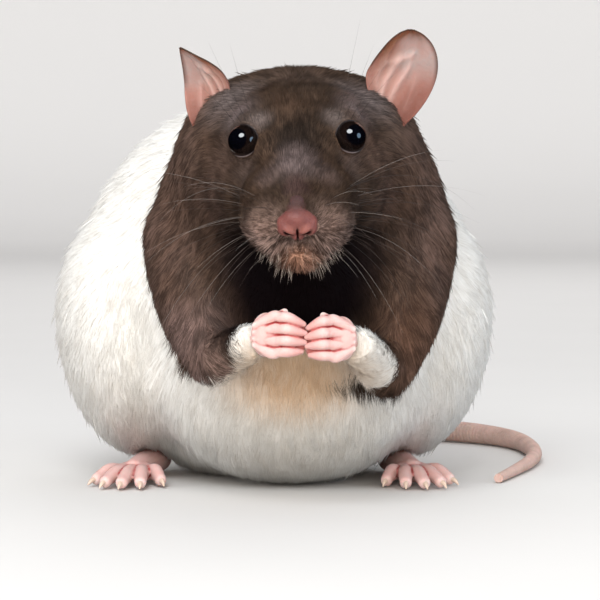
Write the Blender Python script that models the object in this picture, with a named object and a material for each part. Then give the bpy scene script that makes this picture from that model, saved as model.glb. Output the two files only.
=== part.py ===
"""A life-size hooded rat that sits up, facing -Y, with its two hands held together under its chin.

Sizes and places in the names and tables below are in millimetres, and MM turns them into Blender's metres.
The point (0, 0, 0) of these tables lies on the floor, straight under the middle of the eyes. At the end the
whole rat is moved so that the middle of its footprint is the origin. X is to the right of someone who faces
the rat, so right in a name is that side, and Y runs back along its body.
The body is modelled whole, in soft masses that are fused and smoothed, and is then parted with thin cuts.
"""

import math

import bmesh
import bpy
from mathutils import Euler, Matrix, Vector

MM = 0.001
GAP = 0.3
SIDES = {"left": -1, "right": 1}
EVEN_SIDES = {"both": 1}

# The head has its own frame: x right, y back from the nose, z up, pitched down and a little turned and rolled
NOSE_PLACE = (-0.6, -22.0, 62.4)
HEAD_PITCH = math.radians(22)
HEAD_ROLL = math.radians(-2.1)
HEAD_YAW = math.radians(-1.7)
HEAD = (
    Matrix.Translation(NOSE_PLACE)
    @ Matrix.Rotation(HEAD_YAW, 4, "Z")
    @ Matrix.Rotation(HEAD_ROLL, 4, "Y")
    @ Matrix.Rotation(HEAD_PITCH, 4, "X")
)
WORLD = Matrix.Identity(4)

# The eyes, in the head's frame
EYE_RADIUS = 3.5
EYE_OUT, EYE_BACK, EYE_UP = 11.4, 26.4, 8.7
EYE_LOOK = Vector((0.56, -0.66, 0.5)).normalized()
LID_RADIUS = 4.05
LID_THICKNESS = 0.75
LID_FORWARD = 0.3

# The rear of the body lies a little to the left of the head, because the rat sits turned
REAR_X = -6.2
HAUNCH_OUT = 34.0
HAUNCH_BACK = 74.0

# Arms
SHOULDER = (27.0, 36.0, 57.0)
ELBOW = {"left": (19.2, 17.0, 32.0), "right": (19.0, 17.0, 29.5)}
WRIST = {"left": (9.9, -3.5, 37.4), "right": (11.6, -3.5, 36.6)}
FOREARM_RADII = (6.4, 5.6, 4.3, 3.5)

# Hands: four fingers one above the other, reaching in to the middle
FINGER_RADIUS = 1.35
FINGER_STEP = 2.7
FINGER_COUNT = 4
FINGERTIP = {"left": 1.0, "right": 1.5}

# Hind feet
FOOT_LENGTH = 41.0
HEEL_OUT, HEEL_BACK = 28.0, 79.0
FOOT_SPLAY = math.radians(10)
TOE_SPREAD = tuple(math.radians(a) for a in (-26, -11, 0, 11, 27))
TOE_LENGTHS = (9.5, 14.0, 15.0, 14.0, 9.0)
TOE_RADIUS = 1.7
CLAW_LENGTH = 2.4
CLAW_RADIUS = 0.65

# Ears
EAR_ROOT_HALF_WIDTH = 3.7
EAR_WIDEST = 0.58
EAR_THICKNESS = (1.3, 0.8)
EAR_SIZES = {"left": (20.5, 8.8), "right": (21.3, 8.2)}
EARS = {
    "left": {"root": (-14.6, 17.0, 82.6), "way": (-4.4, 5.0, 15.8), "turn": -64, "lean": -6.5, "flare": 1.0},
    "right": {"root": (16.9, 16.0, 83.0), "way": (6.0, 4.8, 21.0), "turn": 28, "lean": -5.0, "flare": 1.4},
}

# The tail lies on the floor behind the body
TAIL_BASE_RADIUS = 5.0
TAIL_TIP_RADIUS = 1.1
TAIL_PATH = (
    (-6.5, 100.0),
    (-7.0, 114.0),
    (-7.5, 128.0),
    (-4.0, 141.0),
    (6.0, 152.0),
    (20.0, 157.5),
    (35.0, 155.5),
    (47.5, 147.0),
    (55.5, 134.0),
    (58.5, 118.0),
    (58.5, 101.0),
    (55.5, 84.5),
    (51.0, 69.0),
    (46.5, 55.0),
)
TAIL_NODES = ("tail_root", "tail_upper", "tail_lower", "tail_tip")
TAIL_SIDES = 10
TAIL_STEPS = 4
TAIL_BURIED = 0.15
TAIL_LIFT = 9.0
TAIL_LIFTED = 30.0

# How fine each skin is: edge of a voxel, rounds of smoothing, and faces kept
BODY_SKIN = {"voxel": 2.0, "rounds": 16}
FLESH_SKIN = {"voxel": 0.8, "rounds": 4, "faces": 5300}
HAND_SKIN = {"voxel": 0.42, "rounds": 2, "faces": 640}
FOOT_SKIN = {"voxel": 0.42, "rounds": 2, "faces": 640}
NOSE_SKIN = {"voxel": 0.3, "rounds": 2, "faces": 300}

COLOURS = {
    "hood": ((0.055, 0.038, 0.032), 0.75),
    "white": ((0.82, 0.79, 0.73), 0.8),
    "skin": ((0.80, 0.50, 0.47), 0.5),
    "ear": ((0.46, 0.27, 0.24), 0.55),
    "eye": ((0.008, 0.007, 0.009), 0.06),
    "tail": ((0.62, 0.44, 0.40), 0.6),
}


def clear_scene():
    """Starts from an empty file."""
    for obj in list(bpy.data.objects):
        bpy.data.objects.remove(obj, do_unlink=True)


def new_object(name, mesh):
    """Links a mesh to the scene under a name."""
    obj = bpy.data.objects.new(name, mesh)
    bpy.context.scene.collection.objects.link(obj)
    return obj


def remove(*objects):
    """Deletes cutters and other helpers once they are used."""
    for obj in objects:
        bpy.data.objects.remove(obj, do_unlink=True)


def from_bmesh(name, bm):
    """Turns a bmesh in millimetres into an object in metres, with its faces pointing out."""
    bmesh.ops.scale(bm, vec=(MM, MM, MM), verts=bm.verts)
    bmesh.ops.recalc_face_normals(bm, faces=bm.faces)
    mesh = bpy.data.meshes.new(name)
    bm.to_mesh(mesh)
    bm.free()
    return new_object(name, mesh)


def blob(at, radii, turn=(0, 0, 0), frame=WORLD, grow=0.0, segments=32):
    """An ellipsoid, from its centre, its half sizes and its turn in degrees."""
    angles = Euler([math.radians(a) for a in turn]).to_matrix().to_4x4()
    size = Matrix.Diagonal((*[r + grow for r in radii], 1.0))
    bm = bmesh.new()
    bmesh.ops.create_uvsphere(bm, u_segments=segments, v_segments=segments // 2, radius=1.0)
    bmesh.ops.transform(bm, matrix=frame @ Matrix.Translation(at) @ angles @ size, verts=bm.verts)
    return from_bmesh("blob", bm)


def box(low, high, frame=WORLD, grow=0.0):
    """A block between two corners, in a frame."""
    low, high = Vector(low) - Vector((grow,) * 3), Vector(high) + Vector((grow,) * 3)
    bm = bmesh.new()
    bmesh.ops.create_cube(bm, size=1.0)
    middle = Matrix.Translation((low + high) / 2)
    bmesh.ops.transform(bm, matrix=frame @ middle @ Matrix.Diagonal((*(high - low), 1.0)), verts=bm.verts)
    return from_bmesh("box", bm)


def eased(points, steps):
    """A smooth run through points of any dimension, by Catmull-Rom, with steps between two of them."""
    rows = [Vector(p) for p in points]
    rows = [2 * rows[0] - rows[1], *rows, 2 * rows[-1] - rows[-2]]
    run = []
    for a, b, c, d in zip(rows, rows[1:], rows[2:], rows[3:]):
        for k in range(steps):
            t = k / steps
            square, cube = t * t * (2 * a - 5 * b + 4 * c - d), t**3 * (3 * b - a - 3 * c + d)
            run.append(0.5 * (2 * b + t * (c - a) + square + cube))
    return [*run, rows[-2]]


def rings_along(path, radii, sides):
    """Rings of points round a path, each square to it, with no twist between them."""
    rings = []
    side = None
    for k, centre in enumerate(path):
        ahead = (path[min(k + 1, len(path) - 1)] - path[max(k - 1, 0)]).normalized()
        if side is None:
            side = ahead.cross(Vector((0, 0, 1)))
            side = side.normalized() if side.length > 0.1 else Vector((1, 0, 0))
        side = (side - ahead * side.dot(ahead)).normalized()
        up = side.cross(ahead)
        wide, high = radii[k]
        angles = [2 * math.pi * (j + 0.5 * (sides % 2)) / sides for j in range(sides)]
        rings.append([centre + side * wide * math.cos(a) + up * high * math.sin(a) for a in angles])
    return rings


def rounded(path, radii):
    """Adds the rings of a half ball to both ends of a path."""
    turns = [math.radians(a) for a in (25, 50, 72, 86)]
    for end, step in ((0, 1), (-1, -1)):
        out = (path[end] - path[end + step]).normalized()
        wide, high = radii[end]
        more = [path[end] + out * high * math.sin(a) for a in turns]
        sizes = [(wide * math.cos(a), high * math.cos(a)) for a in turns]
        if end == 0:
            path, radii = [*reversed(more), *path], [*reversed(sizes), *radii]
        else:
            path, radii = [*path, *more], [*radii, *sizes]
    return path, radii


def tube(points, radii, sides=16, steps=4, frame=WORLD, grow=0.0, round_ends=True):
    """A closed tube through points. Each radius is a number, or a pair of half width and half height."""
    pairs = [r if isinstance(r, tuple) else (r, r) for r in radii]
    run = eased([(*p, 0.0) for p in points], steps)
    sizes = eased([(w + grow, h + grow, 0.0) for w, h in pairs], steps)
    path = [Vector(p[:3]) for p in run]
    spread = [(s[0], s[1]) for s in sizes]
    if round_ends:
        path, spread = rounded(path, spread)
    bm = bmesh.new()
    rings = [[bm.verts.new(frame @ p) for p in ring] for ring in rings_along(path, spread, sides)]
    for near, far in zip(rings, rings[1:]):
        for j in range(sides):
            bm.faces.new((near[j], near[(j + 1) % sides], far[(j + 1) % sides], far[j]))
    bm.faces.new(rings[0][::-1])
    bm.faces.new(rings[-1])
    bmesh.ops.triangulate(bm, faces=bm.faces)
    return from_bmesh("tube", bm)


def ring(at, axis, radius, thickness, frame=WORLD, around=24, sides=8):
    """A round rim, such as that of the lids."""
    turn = axis.to_track_quat("Z", "Y").to_matrix().to_4x4()
    place = frame @ Matrix.Translation(at) @ turn
    bm = bmesh.new()
    hoops = []
    for k in range(around):
        a = 2 * math.pi * k / around
        out = Vector((math.cos(a), math.sin(a), 0))
        hoop = []
        for j in range(sides):
            b = 2 * math.pi * j / sides
            point = out * (radius + thickness * math.cos(b)) + Vector((0, 0, thickness * math.sin(b)))
            hoop.append(bm.verts.new(place @ point))
        hoops.append(hoop)
    for k, near in enumerate(hoops):
        far = hoops[(k + 1) % around]
        for j in range(sides):
            bm.faces.new((near[j], near[(j + 1) % sides], far[(j + 1) % sides], far[j]))
    return from_bmesh("ring", bm)


def largest_only(obj):
    """Keeps the largest closed surface of a mesh and drops loose scraps."""
    bm = bmesh.new()
    bm.from_mesh(obj.data)
    left, groups = set(bm.verts), []
    while left:
        group, edge = set(), [left.pop()]
        while edge:
            vert = edge.pop()
            group.add(vert)
            near = {e.other_vert(vert) for e in vert.link_edges} & left
            left -= near
            edge.extend(near)
        groups.append(group)
    keep = max(groups, key=len)
    bmesh.ops.delete(bm, geom=[v for v in bm.verts if v not in keep], context="VERTS")
    bm.to_mesh(obj.data)
    bm.free()
    return obj


def baked(obj):
    """Replaces an object's mesh by what its modifiers make of it."""
    graph = bpy.context.evaluated_depsgraph_get()
    mesh = bpy.data.meshes.new_from_object(obj.evaluated_get(graph))
    obj.modifiers.clear()
    obj.data = mesh
    return largest_only(obj)


def fused(name, pieces, voxel, rounds, faces=None):
    """One smooth closed skin over overlapping pieces, which are then removed."""
    bm = bmesh.new()
    for piece in pieces:
        bm.from_mesh(piece.data)
    mesh = bpy.data.meshes.new(name)
    bm.to_mesh(mesh)
    bm.free()
    remove(*pieces)
    obj = new_object(name, mesh)
    skin = obj.modifiers.new("skin", "REMESH")
    skin.mode = "VOXEL"
    skin.voxel_size = voxel * MM
    soften = obj.modifiers.new("soften", "SMOOTH")
    soften.factor = 0.5
    soften.iterations = rounds
    baked(obj)
    if faces:
        thin = obj.modifiers.new("thin", "DECIMATE")
        thin.use_collapse_triangulate = True
        bm = bmesh.new()
        bm.from_mesh(obj.data)
        triangles = sum(len(f.verts) - 2 for f in bm.faces)
        bm.free()
        thin.ratio = min(1.0, faces / triangles)
        baked(obj)
    return obj


def copied(obj, name):
    """A second object with its own copy of the mesh."""
    return new_object(name, obj.data.copy())


def joined_by(obj, other, operation):
    """Cuts an object by another, or keeps what they share, and drops the scraps."""
    cut = obj.modifiers.new("cut", "BOOLEAN")
    cut.operation = operation
    cut.object = other
    cut.solver = "MANIFOLD"
    return baked(obj)


def grown(obj, by):
    """A copy of an object that is thicker all round."""
    fat = copied(obj, "grown")
    push = fat.modifiers.new("push", "DISPLACE")
    push.strength = by * MM
    push.mid_level = 0.0
    return baked(fat)


def clear_of(obj, other, gap=GAP):
    """Cuts a node clear of a neighbour, which keeps its shape."""
    cutter = grown(other, gap)
    joined_by(obj, cutter, "DIFFERENCE")
    remove(cutter)
    return obj


def part_off(whole, name, region):
    """Takes the share of the whole inside a region as a node of its own, and leaves the gap between them."""
    piece = copied(whole, name)
    inner, outer = region(0.0), region(GAP)
    joined_by(piece, inner, "INTERSECT")
    joined_by(whole, outer, "DIFFERENCE")
    remove(inner, outer)
    return piece


def mirrored(point, side):
    """A point on one side or the other of the middle plane."""
    return (point[0] * side, *point[1:])


def eye_place(side):
    """The centre of an eyeball, in the head's frame."""
    return Vector((EYE_OUT * side, EYE_BACK, EYE_UP))


def eye_look(side):
    """The way an eye faces, in the head's frame."""
    return Vector((EYE_LOOK.x * side, EYE_LOOK.y, EYE_LOOK.z))


def eye_opening(side):
    """The space in front of an eye that the lids leave open."""
    look = eye_look(side)
    near, far = eye_place(side) + look * 0.2, eye_place(side) + look * 6.0
    return tube([tuple(near), tuple(far)], [3.5, 4.5], sides=24, steps=1, frame=HEAD, round_ends=False)


def body_masses():
    """The large soft masses of the trunk, neck and skull."""
    masses = [
        blob((0.4, 42.0, 57.0), (34.6, 31.0, 39.5)),
        blob((0.0, 29.0, 74.8), (25.0, 22.0, 22.8)),
        blob((-9.5, 29.0, 73.2), (19.5, 22.0, 22.4)),
        blob((9.5, 29.0, 73.2), (19.5, 22.0, 22.4)),
        blob((REAR_X, 80.0, 44.0), (48.0, 43.0, 48.2)),
        blob((REAR_X, 100.0, 34.0), (35.0, 25.0, 33.0)),
        blob((-2.0, 54.0, 27.0), (34.0, 28.0, 27.5)),
        blob((0.0, 38.0, 3.0), (17.5, 16.0, 14.5), frame=HEAD),
        blob((0.0, 32.0, -5.0), (14.0, 17.0, 11.0), frame=HEAD),
    ]
    for side in SIDES.values():
        haunch = (REAR_X + HAUNCH_OUT * side, HAUNCH_BACK, 33.5)
        masses.append(blob(haunch, (18.0, 31.0, 30.0), turn=(0, 9 * side, 0)))
        masses.append(blob((9.5 * side, 34.0, -4.5), (10.0, 14.0, 12.0), frame=HEAD))
    return masses


def face_masses():
    """The bridge of the nose, whisker pads, jaw, brows and lids."""
    masses = [
        tube([(0, 3.5, 0.3), (0, 12, 2.0), (0, 21, 4.5), (0, 32, 7.0)], [4.0, 6.2, 7.6, 9.5], frame=HEAD),
        tube([(0, 9, -9.2), (0, 20, -8.0), (0, 34, -7.0)], [4.4, 6.0, 9.0], frame=HEAD),
        blob((0, 10.5, -10.2), (7.4, 7.5, 5.0), frame=HEAD),
    ]
    for side in SIDES.values():
        masses.append(blob((5.9 * side, 9.6, -3.0), (6.4, 8.4, 7.0), frame=HEAD))
        masses.append(blob((7.4 * side, 17.0, -2.0), (5.6, 8.0, 8.0), frame=HEAD))
        masses.append(blob((9.2 * side, 31.0, 8.0), (6.0, 7.0, 6.2), frame=HEAD))
        rim = eye_place(side) + eye_look(side) * LID_FORWARD
        masses.append(ring(rim, eye_look(side), LID_RADIUS, LID_THICKNESS, frame=HEAD))
    return masses


def forearm_path(side_name):
    """From inside the elbow to just past the wrist."""
    side = SIDES[side_name]
    elbow, wrist = Vector(ELBOW[side_name]), Vector(WRIST[side_name])
    ahead = (wrist - elbow).normalized()
    belly = elbow.lerp(wrist, 0.4) + Vector((0.8, 0, -0.8))
    points = [elbow, belly, wrist, wrist + ahead * 2.5]
    return [mirrored(p, side) for p in points]


def forearm_region(side_name):
    """The space of a forearm, flat where the hand begins."""
    side = SIDES[side_name]
    elbow, wrist = Vector(ELBOW[side_name]), Vector(WRIST[side_name])
    ahead = (wrist - elbow).normalized()
    start = elbow + ahead * 5.0
    points = [mirrored(p, side) for p in (start, start.lerp(wrist, 0.5), wrist)]

    def region(grow):
        end = Vector(points[2]) + Vector(mirrored(ahead, side)) * grow
        path = [points[0], points[1], tuple(end)]
        return tube(path, [8.6, 8.0, 7.4], sides=10, steps=2, grow=grow, round_ends=False)

    return region


def arm_masses():
    """The upper arms and forearms."""
    masses = []
    for name, side in SIDES.items():
        shoulder, elbow = Vector(SHOULDER), Vector(ELBOW[name])
        middle = shoulder.lerp(elbow, 0.55) + Vector((1.2, 0, 0))
        path = [mirrored(p, side) for p in (shoulder, middle, elbow)]
        masses.append(tube(path, [(9.0, 12.0), (8.4, 10.0), (6.8, 7.0)]))
        masses.append(tube(forearm_path(name), FOREARM_RADII))
    return masses


def hand(side_name):
    """A hand with four bent fingers and the small thumb, cut flat at the wrist."""
    side = SIDES[side_name]
    wrist = Vector(WRIST[side_name])
    tip_x = FINGERTIP[side_name] * side
    palm = wrist + Vector((-3.6, -2.2, 1.1))
    pieces = [
        tube(forearm_path(side_name)[1:], FOREARM_RADII[1:]),
        blob(mirrored(palm, side), (3.3, 3.2, 5.4), turn=(0, 0, 0)),
    ]
    for k in range(FINGER_COUNT):
        up = palm.z + FINGER_STEP * (1.5 - k)
        short = 0.5 if k in (0, 3) else 0.0
        knuckle = Vector((palm.x - 0.2 + short, palm.y - 1.2, up * 0.92 + palm.z * 0.08))
        joint = Vector((palm.x * 0.52 + tip_x * 0.48, palm.y - 3.6 + short, up + 0.25))
        tip = Vector((tip_x + 1.2 + short, palm.y - 2.2 + short, up - 0.7))
        path = [mirrored(p, side) for p in (knuckle, joint, tip)]
        pieces.append(tube(path, [FINGER_RADIUS * 1.05, FINGER_RADIUS, FINGER_RADIUS * 0.86], sides=12))
    thumb = [palm + Vector((-1.2, -0.4, 4.2)), palm + Vector((-3.6, -1.4, 6.2))]
    pieces.append(tube([mirrored(p, side) for p in thumb], [1.3, 1.0], sides=12))
    obj = fused(f"hand_{side_name}", pieces, **HAND_SKIN)
    forearm = forearm_region(side_name)(GAP)
    joined_by(obj, forearm, "DIFFERENCE")
    remove(forearm)
    return obj


def foot(side_name):
    """A long hind foot flat on the floor, with five spread toes and their claws."""
    side = SIDES[side_name]
    heel = Matrix.Translation((REAR_X + HEEL_OUT * side, HEEL_BACK, 0))
    place = heel @ Matrix.Rotation(FOOT_SPLAY * side, 4, "Z")
    sole = FOOT_LENGTH - TOE_LENGTHS[2]
    pieces = [
        tube(
            [(0, 0, 3.0), (0, -sole * 0.45, 3.2), (0, -sole, 2.6)],
            [(3.3, 3.4), (3.7, 3.5), (5.4, 2.8)],
            frame=place,
        )
    ]
    for turn, length in zip(TOE_SPREAD, TOE_LENGTHS):
        root = Vector((math.sin(turn) * 7.5, -sole + 2.0 + 3.0 * (1 - math.cos(turn)), 2.3))
        ahead = Vector((math.sin(turn), -math.cos(turn), 0))
        knuckle = root + ahead * length * 0.55 + Vector((0, 0, 0.9))
        tip = root + ahead * length + Vector((0, 0, -0.8))
        claw = tip + ahead * (TOE_RADIUS * 0.6 + CLAW_LENGTH) + Vector((0, 0, -0.9))
        radii = [TOE_RADIUS * 1.1, TOE_RADIUS, TOE_RADIUS * 0.9]
        pieces.append(tube([root, knuckle, tip], radii, sides=12, frame=place))
        middle = tip.lerp(claw, 0.6) + Vector((0, 0, 0.35))
        pieces.append(tube([tip, middle, claw], [CLAW_RADIUS, CLAW_RADIUS, 0.4], sides=10, frame=place))
    obj = fused(f"foot_{side_name}", pieces, **FOOT_SKIN)
    return above_floor(obj)


def above_floor(obj):
    """Cuts off what would lie below the floor, and so leaves a small flat there."""
    floor = box((-200, -200, -60), (200, 300, 0))
    joined_by(obj, floor, "DIFFERENCE")
    remove(floor)
    return obj


def nose_pad():
    """The bare nose with two winged nostrils and the cleft between them."""
    pieces = [
        blob((0, 1.2, 0.0), (4.2, 2.7, 3.1), frame=HEAD),
        blob((0, 2.8, 1.8), (3.0, 2.4, 2.0), frame=HEAD),
        blob((0, 1.6, -3.2), (1.5, 1.5, 1.7), frame=HEAD),
    ]
    for side in SIDES.values():
        pieces.append(blob((2.2 * side, 0.4, -0.7), (2.1, 1.9, 1.9), frame=HEAD))
    obj = fused("nose", pieces, **NOSE_SKIN)
    cuts = [box((-0.22, -3.0, -6.0), (0.22, -0.7, 1.2), frame=HEAD)]
    for side in SIDES.values():
        nostril = (2.9 * side, -1.0, -1.3)
        cuts.append(blob(nostril, (1.35, 1.2, 0.62), turn=(0, 32 * side, 0), frame=HEAD, segments=16))
    for cutter in cuts:
        joined_by(obj, cutter, "DIFFERENCE")
    remove(*cuts)
    return obj


def mouth_slit(samples=14, reach=62):
    """A thin bent sheet that cuts the line of the mouth round the muzzle."""
    bm = bmesh.new()
    rows = []
    for k in range(samples + 1):
        a = math.radians(-reach + 2 * reach * k / samples)
        out = Vector((math.sin(a), -math.cos(a), 0))
        centre = Vector((0, 12.0, -8.6 - 1.8 * abs(math.sin(a))))
        corners = []
        for along, up in ((5.6, 0.3), (16.0, 0.3), (16.0, -0.3), (5.6, -0.3)):
            corners.append(bm.verts.new(HEAD @ (centre + out * along + Vector((0, 0, up)))))
        rows.append(corners)
    for near, far in zip(rows, rows[1:]):
        for j in range(4):
            bm.faces.new((near[j], near[(j + 1) % 4], far[(j + 1) % 4], far[j]))
    bm.faces.new(rows[0][::-1])
    bm.faces.new(rows[-1])
    bmesh.ops.triangulate(bm, faces=bm.faces)
    return from_bmesh("mouth", bm)


def ear(side_name, rings=11, across=10):
    """A thin cupped ear, open to the front, with a rolled root that closes round the ear hole."""
    facts = EARS[side_name]
    height, half_width = EAR_SIZES[side_name]
    up = Vector(facts["way"]).normalized()
    turn = math.radians(facts["turn"])
    face = Vector((math.sin(turn), -math.cos(turn), 0))
    face = (face - up * face.dot(up)).normalized()
    right = up.cross(face) * -1
    place = Matrix((right, -face, up)).transposed().to_4x4()
    place.translation = Vector(facts["root"])
    bm = bmesh.new()
    rows = []
    outer = list(range(across + 1))
    for k in range(rings):
        share = math.sin(0.5 * math.pi * k / (rings - 1)) * 0.985
        high = height * share
        if share < EAR_WIDEST:
            rise = share / EAR_WIDEST
            spread = half_width - EAR_ROOT_HALF_WIDTH
            half = EAR_ROOT_HALF_WIDTH + spread * math.sin(0.5 * math.pi * rise) ** facts["flare"]
        else:
            half = half_width * math.sqrt(1 - ((share - EAR_WIDEST) / (1 - EAR_WIDEST)) ** 2)
        open_to = math.radians(128 - 76 * min(1.0, share / 0.55))
        radius = half / math.sin(min(open_to, math.pi / 2))
        thick = EAR_THICKNESS[0] + (EAR_THICKNESS[1] - EAR_THICKNESS[0]) * share
        lean = facts["lean"] * share**2.5
        outline = []
        for bend, j in [(radius, j) for j in outer] + [(radius - thick, j) for j in reversed(outer)]:
            a = open_to * (2 * j / across - 1)
            point = Vector((bend * math.sin(a), bend * math.cos(a) - radius + lean, high))
            outline.append(bm.verts.new(place @ point))
        rows.append(outline)
    count = len(rows[0])
    for near, far in zip(rows, rows[1:]):
        for j in range(count):
            bm.faces.new((near[j], near[(j + 1) % count], far[(j + 1) % count], far[j]))
    for row, flip in ((rows[0], True), (rows[-1], False)):
        for j in range(across):
            quad = (row[j], row[j + 1], row[count - 2 - j], row[count - 1 - j])
            bm.faces.new(quad[::-1] if flip else quad)
    bmesh.ops.triangulate(bm, faces=bm.faces)
    return from_bmesh(f"ear_{side_name}", bm)


def tail():
    """Four lengths of one tapering tail that comes down from the rump and lies on the floor."""
    plan = eased([(*p, 0.0) for p in TAIL_PATH], TAIL_STEPS)
    lengths = [0.0]
    for near, far in zip(plan, plan[1:]):
        lengths.append(lengths[-1] + (far - near).length)
    path, radii = [], []
    for point, run in zip(plan, lengths):
        radius = TAIL_BASE_RADIUS + (TAIL_TIP_RADIUS - TAIL_BASE_RADIUS) * (run / lengths[-1]) ** 0.8
        lift = TAIL_LIFT * max(0.0, 1 - run / TAIL_LIFTED) ** 1.6
        path.append(Vector((point.x, point.y, radius - TAIL_BURIED + lift)))
        radii.append((radius, radius))
    ahead = (path[-1] - path[-2]).normalized()
    for angle in (35, 65, 82):
        turn = math.radians(angle)
        radius = TAIL_TIP_RADIUS * math.cos(turn)
        point = path[len(plan) - 1] + ahead * TAIL_TIP_RADIUS * math.sin(turn)
        path.append(Vector((point.x, point.y, max(radius - TAIL_BURIED, 0.3))))
        radii.append((radius, radius))
    rings = rings_along(path, radii, TAIL_SIDES)
    share = (len(plan) - 1) // len(TAIL_NODES)
    nodes = []
    for k, name in enumerate(TAIL_NODES):
        first = k * share
        last = len(rings) - 1 if name == TAIL_NODES[-1] else first + share
        rows = rings[first : last + 1]
        if k:
            step = (path[first + 1] - path[first - 1]).normalized() * GAP
            rows = [[p + step for p in rows[0]], *rows[1:]]
        nodes.append(tail_length(name, rows))
    return nodes


def tail_length(name, rows):
    """One length of the tail, closed at both ends."""
    bm = bmesh.new()
    rings = [[bm.verts.new(p) for p in row] for row in rows]
    for near, far in zip(rings, rings[1:]):
        for j in range(TAIL_SIDES):
            bm.faces.new((near[j], near[(j + 1) % TAIL_SIDES], far[(j + 1) % TAIL_SIDES], far[j]))
    bm.faces.new(rings[0][::-1])
    bm.faces.new(rings[-1])
    bmesh.ops.triangulate(bm, faces=bm.faces)
    return above_floor(from_bmesh(name, bm))


def haunch_region(side):
    """The space of a thigh, which bulges from the side of the trunk."""
    middle = (REAR_X + 42.0 * side, HAUNCH_BACK, 29.0)
    return lambda grow: blob(middle, (21.0, 30.0, 32.0), grow=grow, segments=18)


def upper_arm_region(side_name):
    """The space of a shoulder and upper arm, down to the elbow."""
    elbow = Vector(ELBOW[side_name]) + Vector((2.5, -1.0, -1.5))
    path = [mirrored(p, SIDES[side_name]) for p in ((34.0, 36.0, 58.0), (31.0, 29.0, 45.0), elbow)]
    return lambda grow: tube(path, [14.0, 12.5, 10.5], sides=10, steps=2, grow=grow)


def head_region(grow):
    """All of the head, in front of a plane behind the ears."""
    return box((-45, -25, -19.5), (45, 44, 45), frame=HEAD, grow=grow)


def neck_region(grow):
    """The neck, from the back of the head to the shoulders."""
    return box((-45, 30, -24), (45, 57, 45), frame=HEAD, grow=grow)


def chest_region(grow):
    """The chest, above the belly and up to a plane that leans as the edge of the hood does."""
    lean = Matrix.Translation((0, 54, 50)) @ Matrix.Rotation(math.radians(-8), 4, "X")
    return box((-35, -80, -23), (36, 0, 80), frame=lean, grow=grow)


def material(name):
    """A plain finish from the table of colours."""
    colour, roughness = COLOURS[name]
    made = bpy.data.materials.get(name) or bpy.data.materials.new(name)
    made.use_nodes = True
    shader = made.node_tree.nodes["Principled BSDF"]
    shader.inputs["Base Color"].default_value = (*colour, 1.0)
    shader.inputs["Roughness"].default_value = roughness
    shader.inputs["Metallic"].default_value = 0.0
    return made


def finish(obj, colour, parent):
    """Gives a node its colour and smooth shading, and hangs it from the rat's origin."""
    obj.data.materials.clear()
    obj.data.materials.append(material(colour))
    obj.data.shade_smooth()
    obj.parent = parent
    return obj


def main():
    """Builds the rat."""
    clear_scene()
    nodes = {}
    body = fused("body", body_masses(), **BODY_SKIN)
    flesh = fused("flesh", [body, *face_masses(), *arm_masses()], **FLESH_SKIN)
    above_floor(flesh)

    head = part_off(flesh, "head", head_region)
    neck = part_off(flesh, "neck", neck_region)
    nodes["neck"] = (neck, "hood")
    for name, side in SIDES.items():
        nodes[f"forearm_{name}"] = (part_off(flesh, f"forearm_{name}", forearm_region(name)), "white")
        nodes[f"hand_{name}"] = (hand(name), "skin")
        nodes[f"upper_arm_{name}"] = (part_off(flesh, f"upper_arm_{name}", upper_arm_region(name)), "hood")
        nodes[f"thigh_{name}"] = (part_off(flesh, f"thigh_{name}", haunch_region(side)), "white")
        nodes[f"foot_{name}"] = (foot(name), "skin")
    nodes["chest"] = (part_off(flesh, "chest", chest_region), "hood")
    flesh.name = "trunk"
    nodes["trunk"] = (flesh, "white")
    for name in SIDES:
        for neighbour in ("trunk", f"thigh_{name}", "chest"):
            clear_of(nodes[neighbour][0], nodes[f"foot_{name}"][0])

    for name in SIDES:
        nodes[f"ear_{name}"] = (clear_of(clear_of(ear(name), head), neck), "ear")
    nose = nose_pad()
    clear_of(head, nose)
    for name, side in SIDES.items():
        place = eye_place(side)
        nodes[f"eye_{name}"] = (blob(place, (EYE_RADIUS,) * 3, frame=HEAD, segments=20), "eye")
        socket = blob(place, (EYE_RADIUS,) * 3, frame=HEAD, grow=GAP, segments=20)
        opening = eye_opening(side)
        joined_by(head, socket, "DIFFERENCE")
        joined_by(head, opening, "DIFFERENCE")
        remove(socket, opening)
    slit = mouth_slit()
    joined_by(head, slit, "DIFFERENCE")
    remove(slit)
    nodes["nose"] = (nose, "skin")
    nodes["head"] = (head, "hood")

    for obj in tail():
        nodes[obj.name] = (obj, "tail")
    clear_of(nodes["trunk"][0], nodes["tail_root"][0])

    stand = bpy.data.objects.new("rat", None)
    bpy.context.scene.collection.objects.link(stand)
    corners = [v.co for obj, _ in nodes.values() for v in obj.data.vertices]
    low = Vector([min(c[k] for c in corners) for k in range(3)])
    high = Vector([max(c[k] for c in corners) for k in range(3)])
    stand.location = (-(low.x + high.x) / 2, -(low.y + high.y) / 2, -low.z)
    for name, (obj, colour) in nodes.items():
        obj.name = name
        finish(obj, colour, stand)


main()
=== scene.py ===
"""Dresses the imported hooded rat: one skin under a coat of fine tufts, lidded eyes, cupped ears, bare
hands and feet, a ringed tail and whiskers, on a pale studio floor.

Lengths in names and tables are in millimetres. Two frames turn them into the scene's metres. BODY has
its origin on the floor under the eyes, with x to the right, y back along the rat and z up. HEAD has its
origin at the tip of the nose, with y towards the nape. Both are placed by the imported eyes.
"""

import math

import bmesh
import bpy
import numpy as np
from mathutils import Matrix, Vector
from mathutils.bvhtree import BVHTree
from mathutils.kdtree import KDTree


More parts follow.
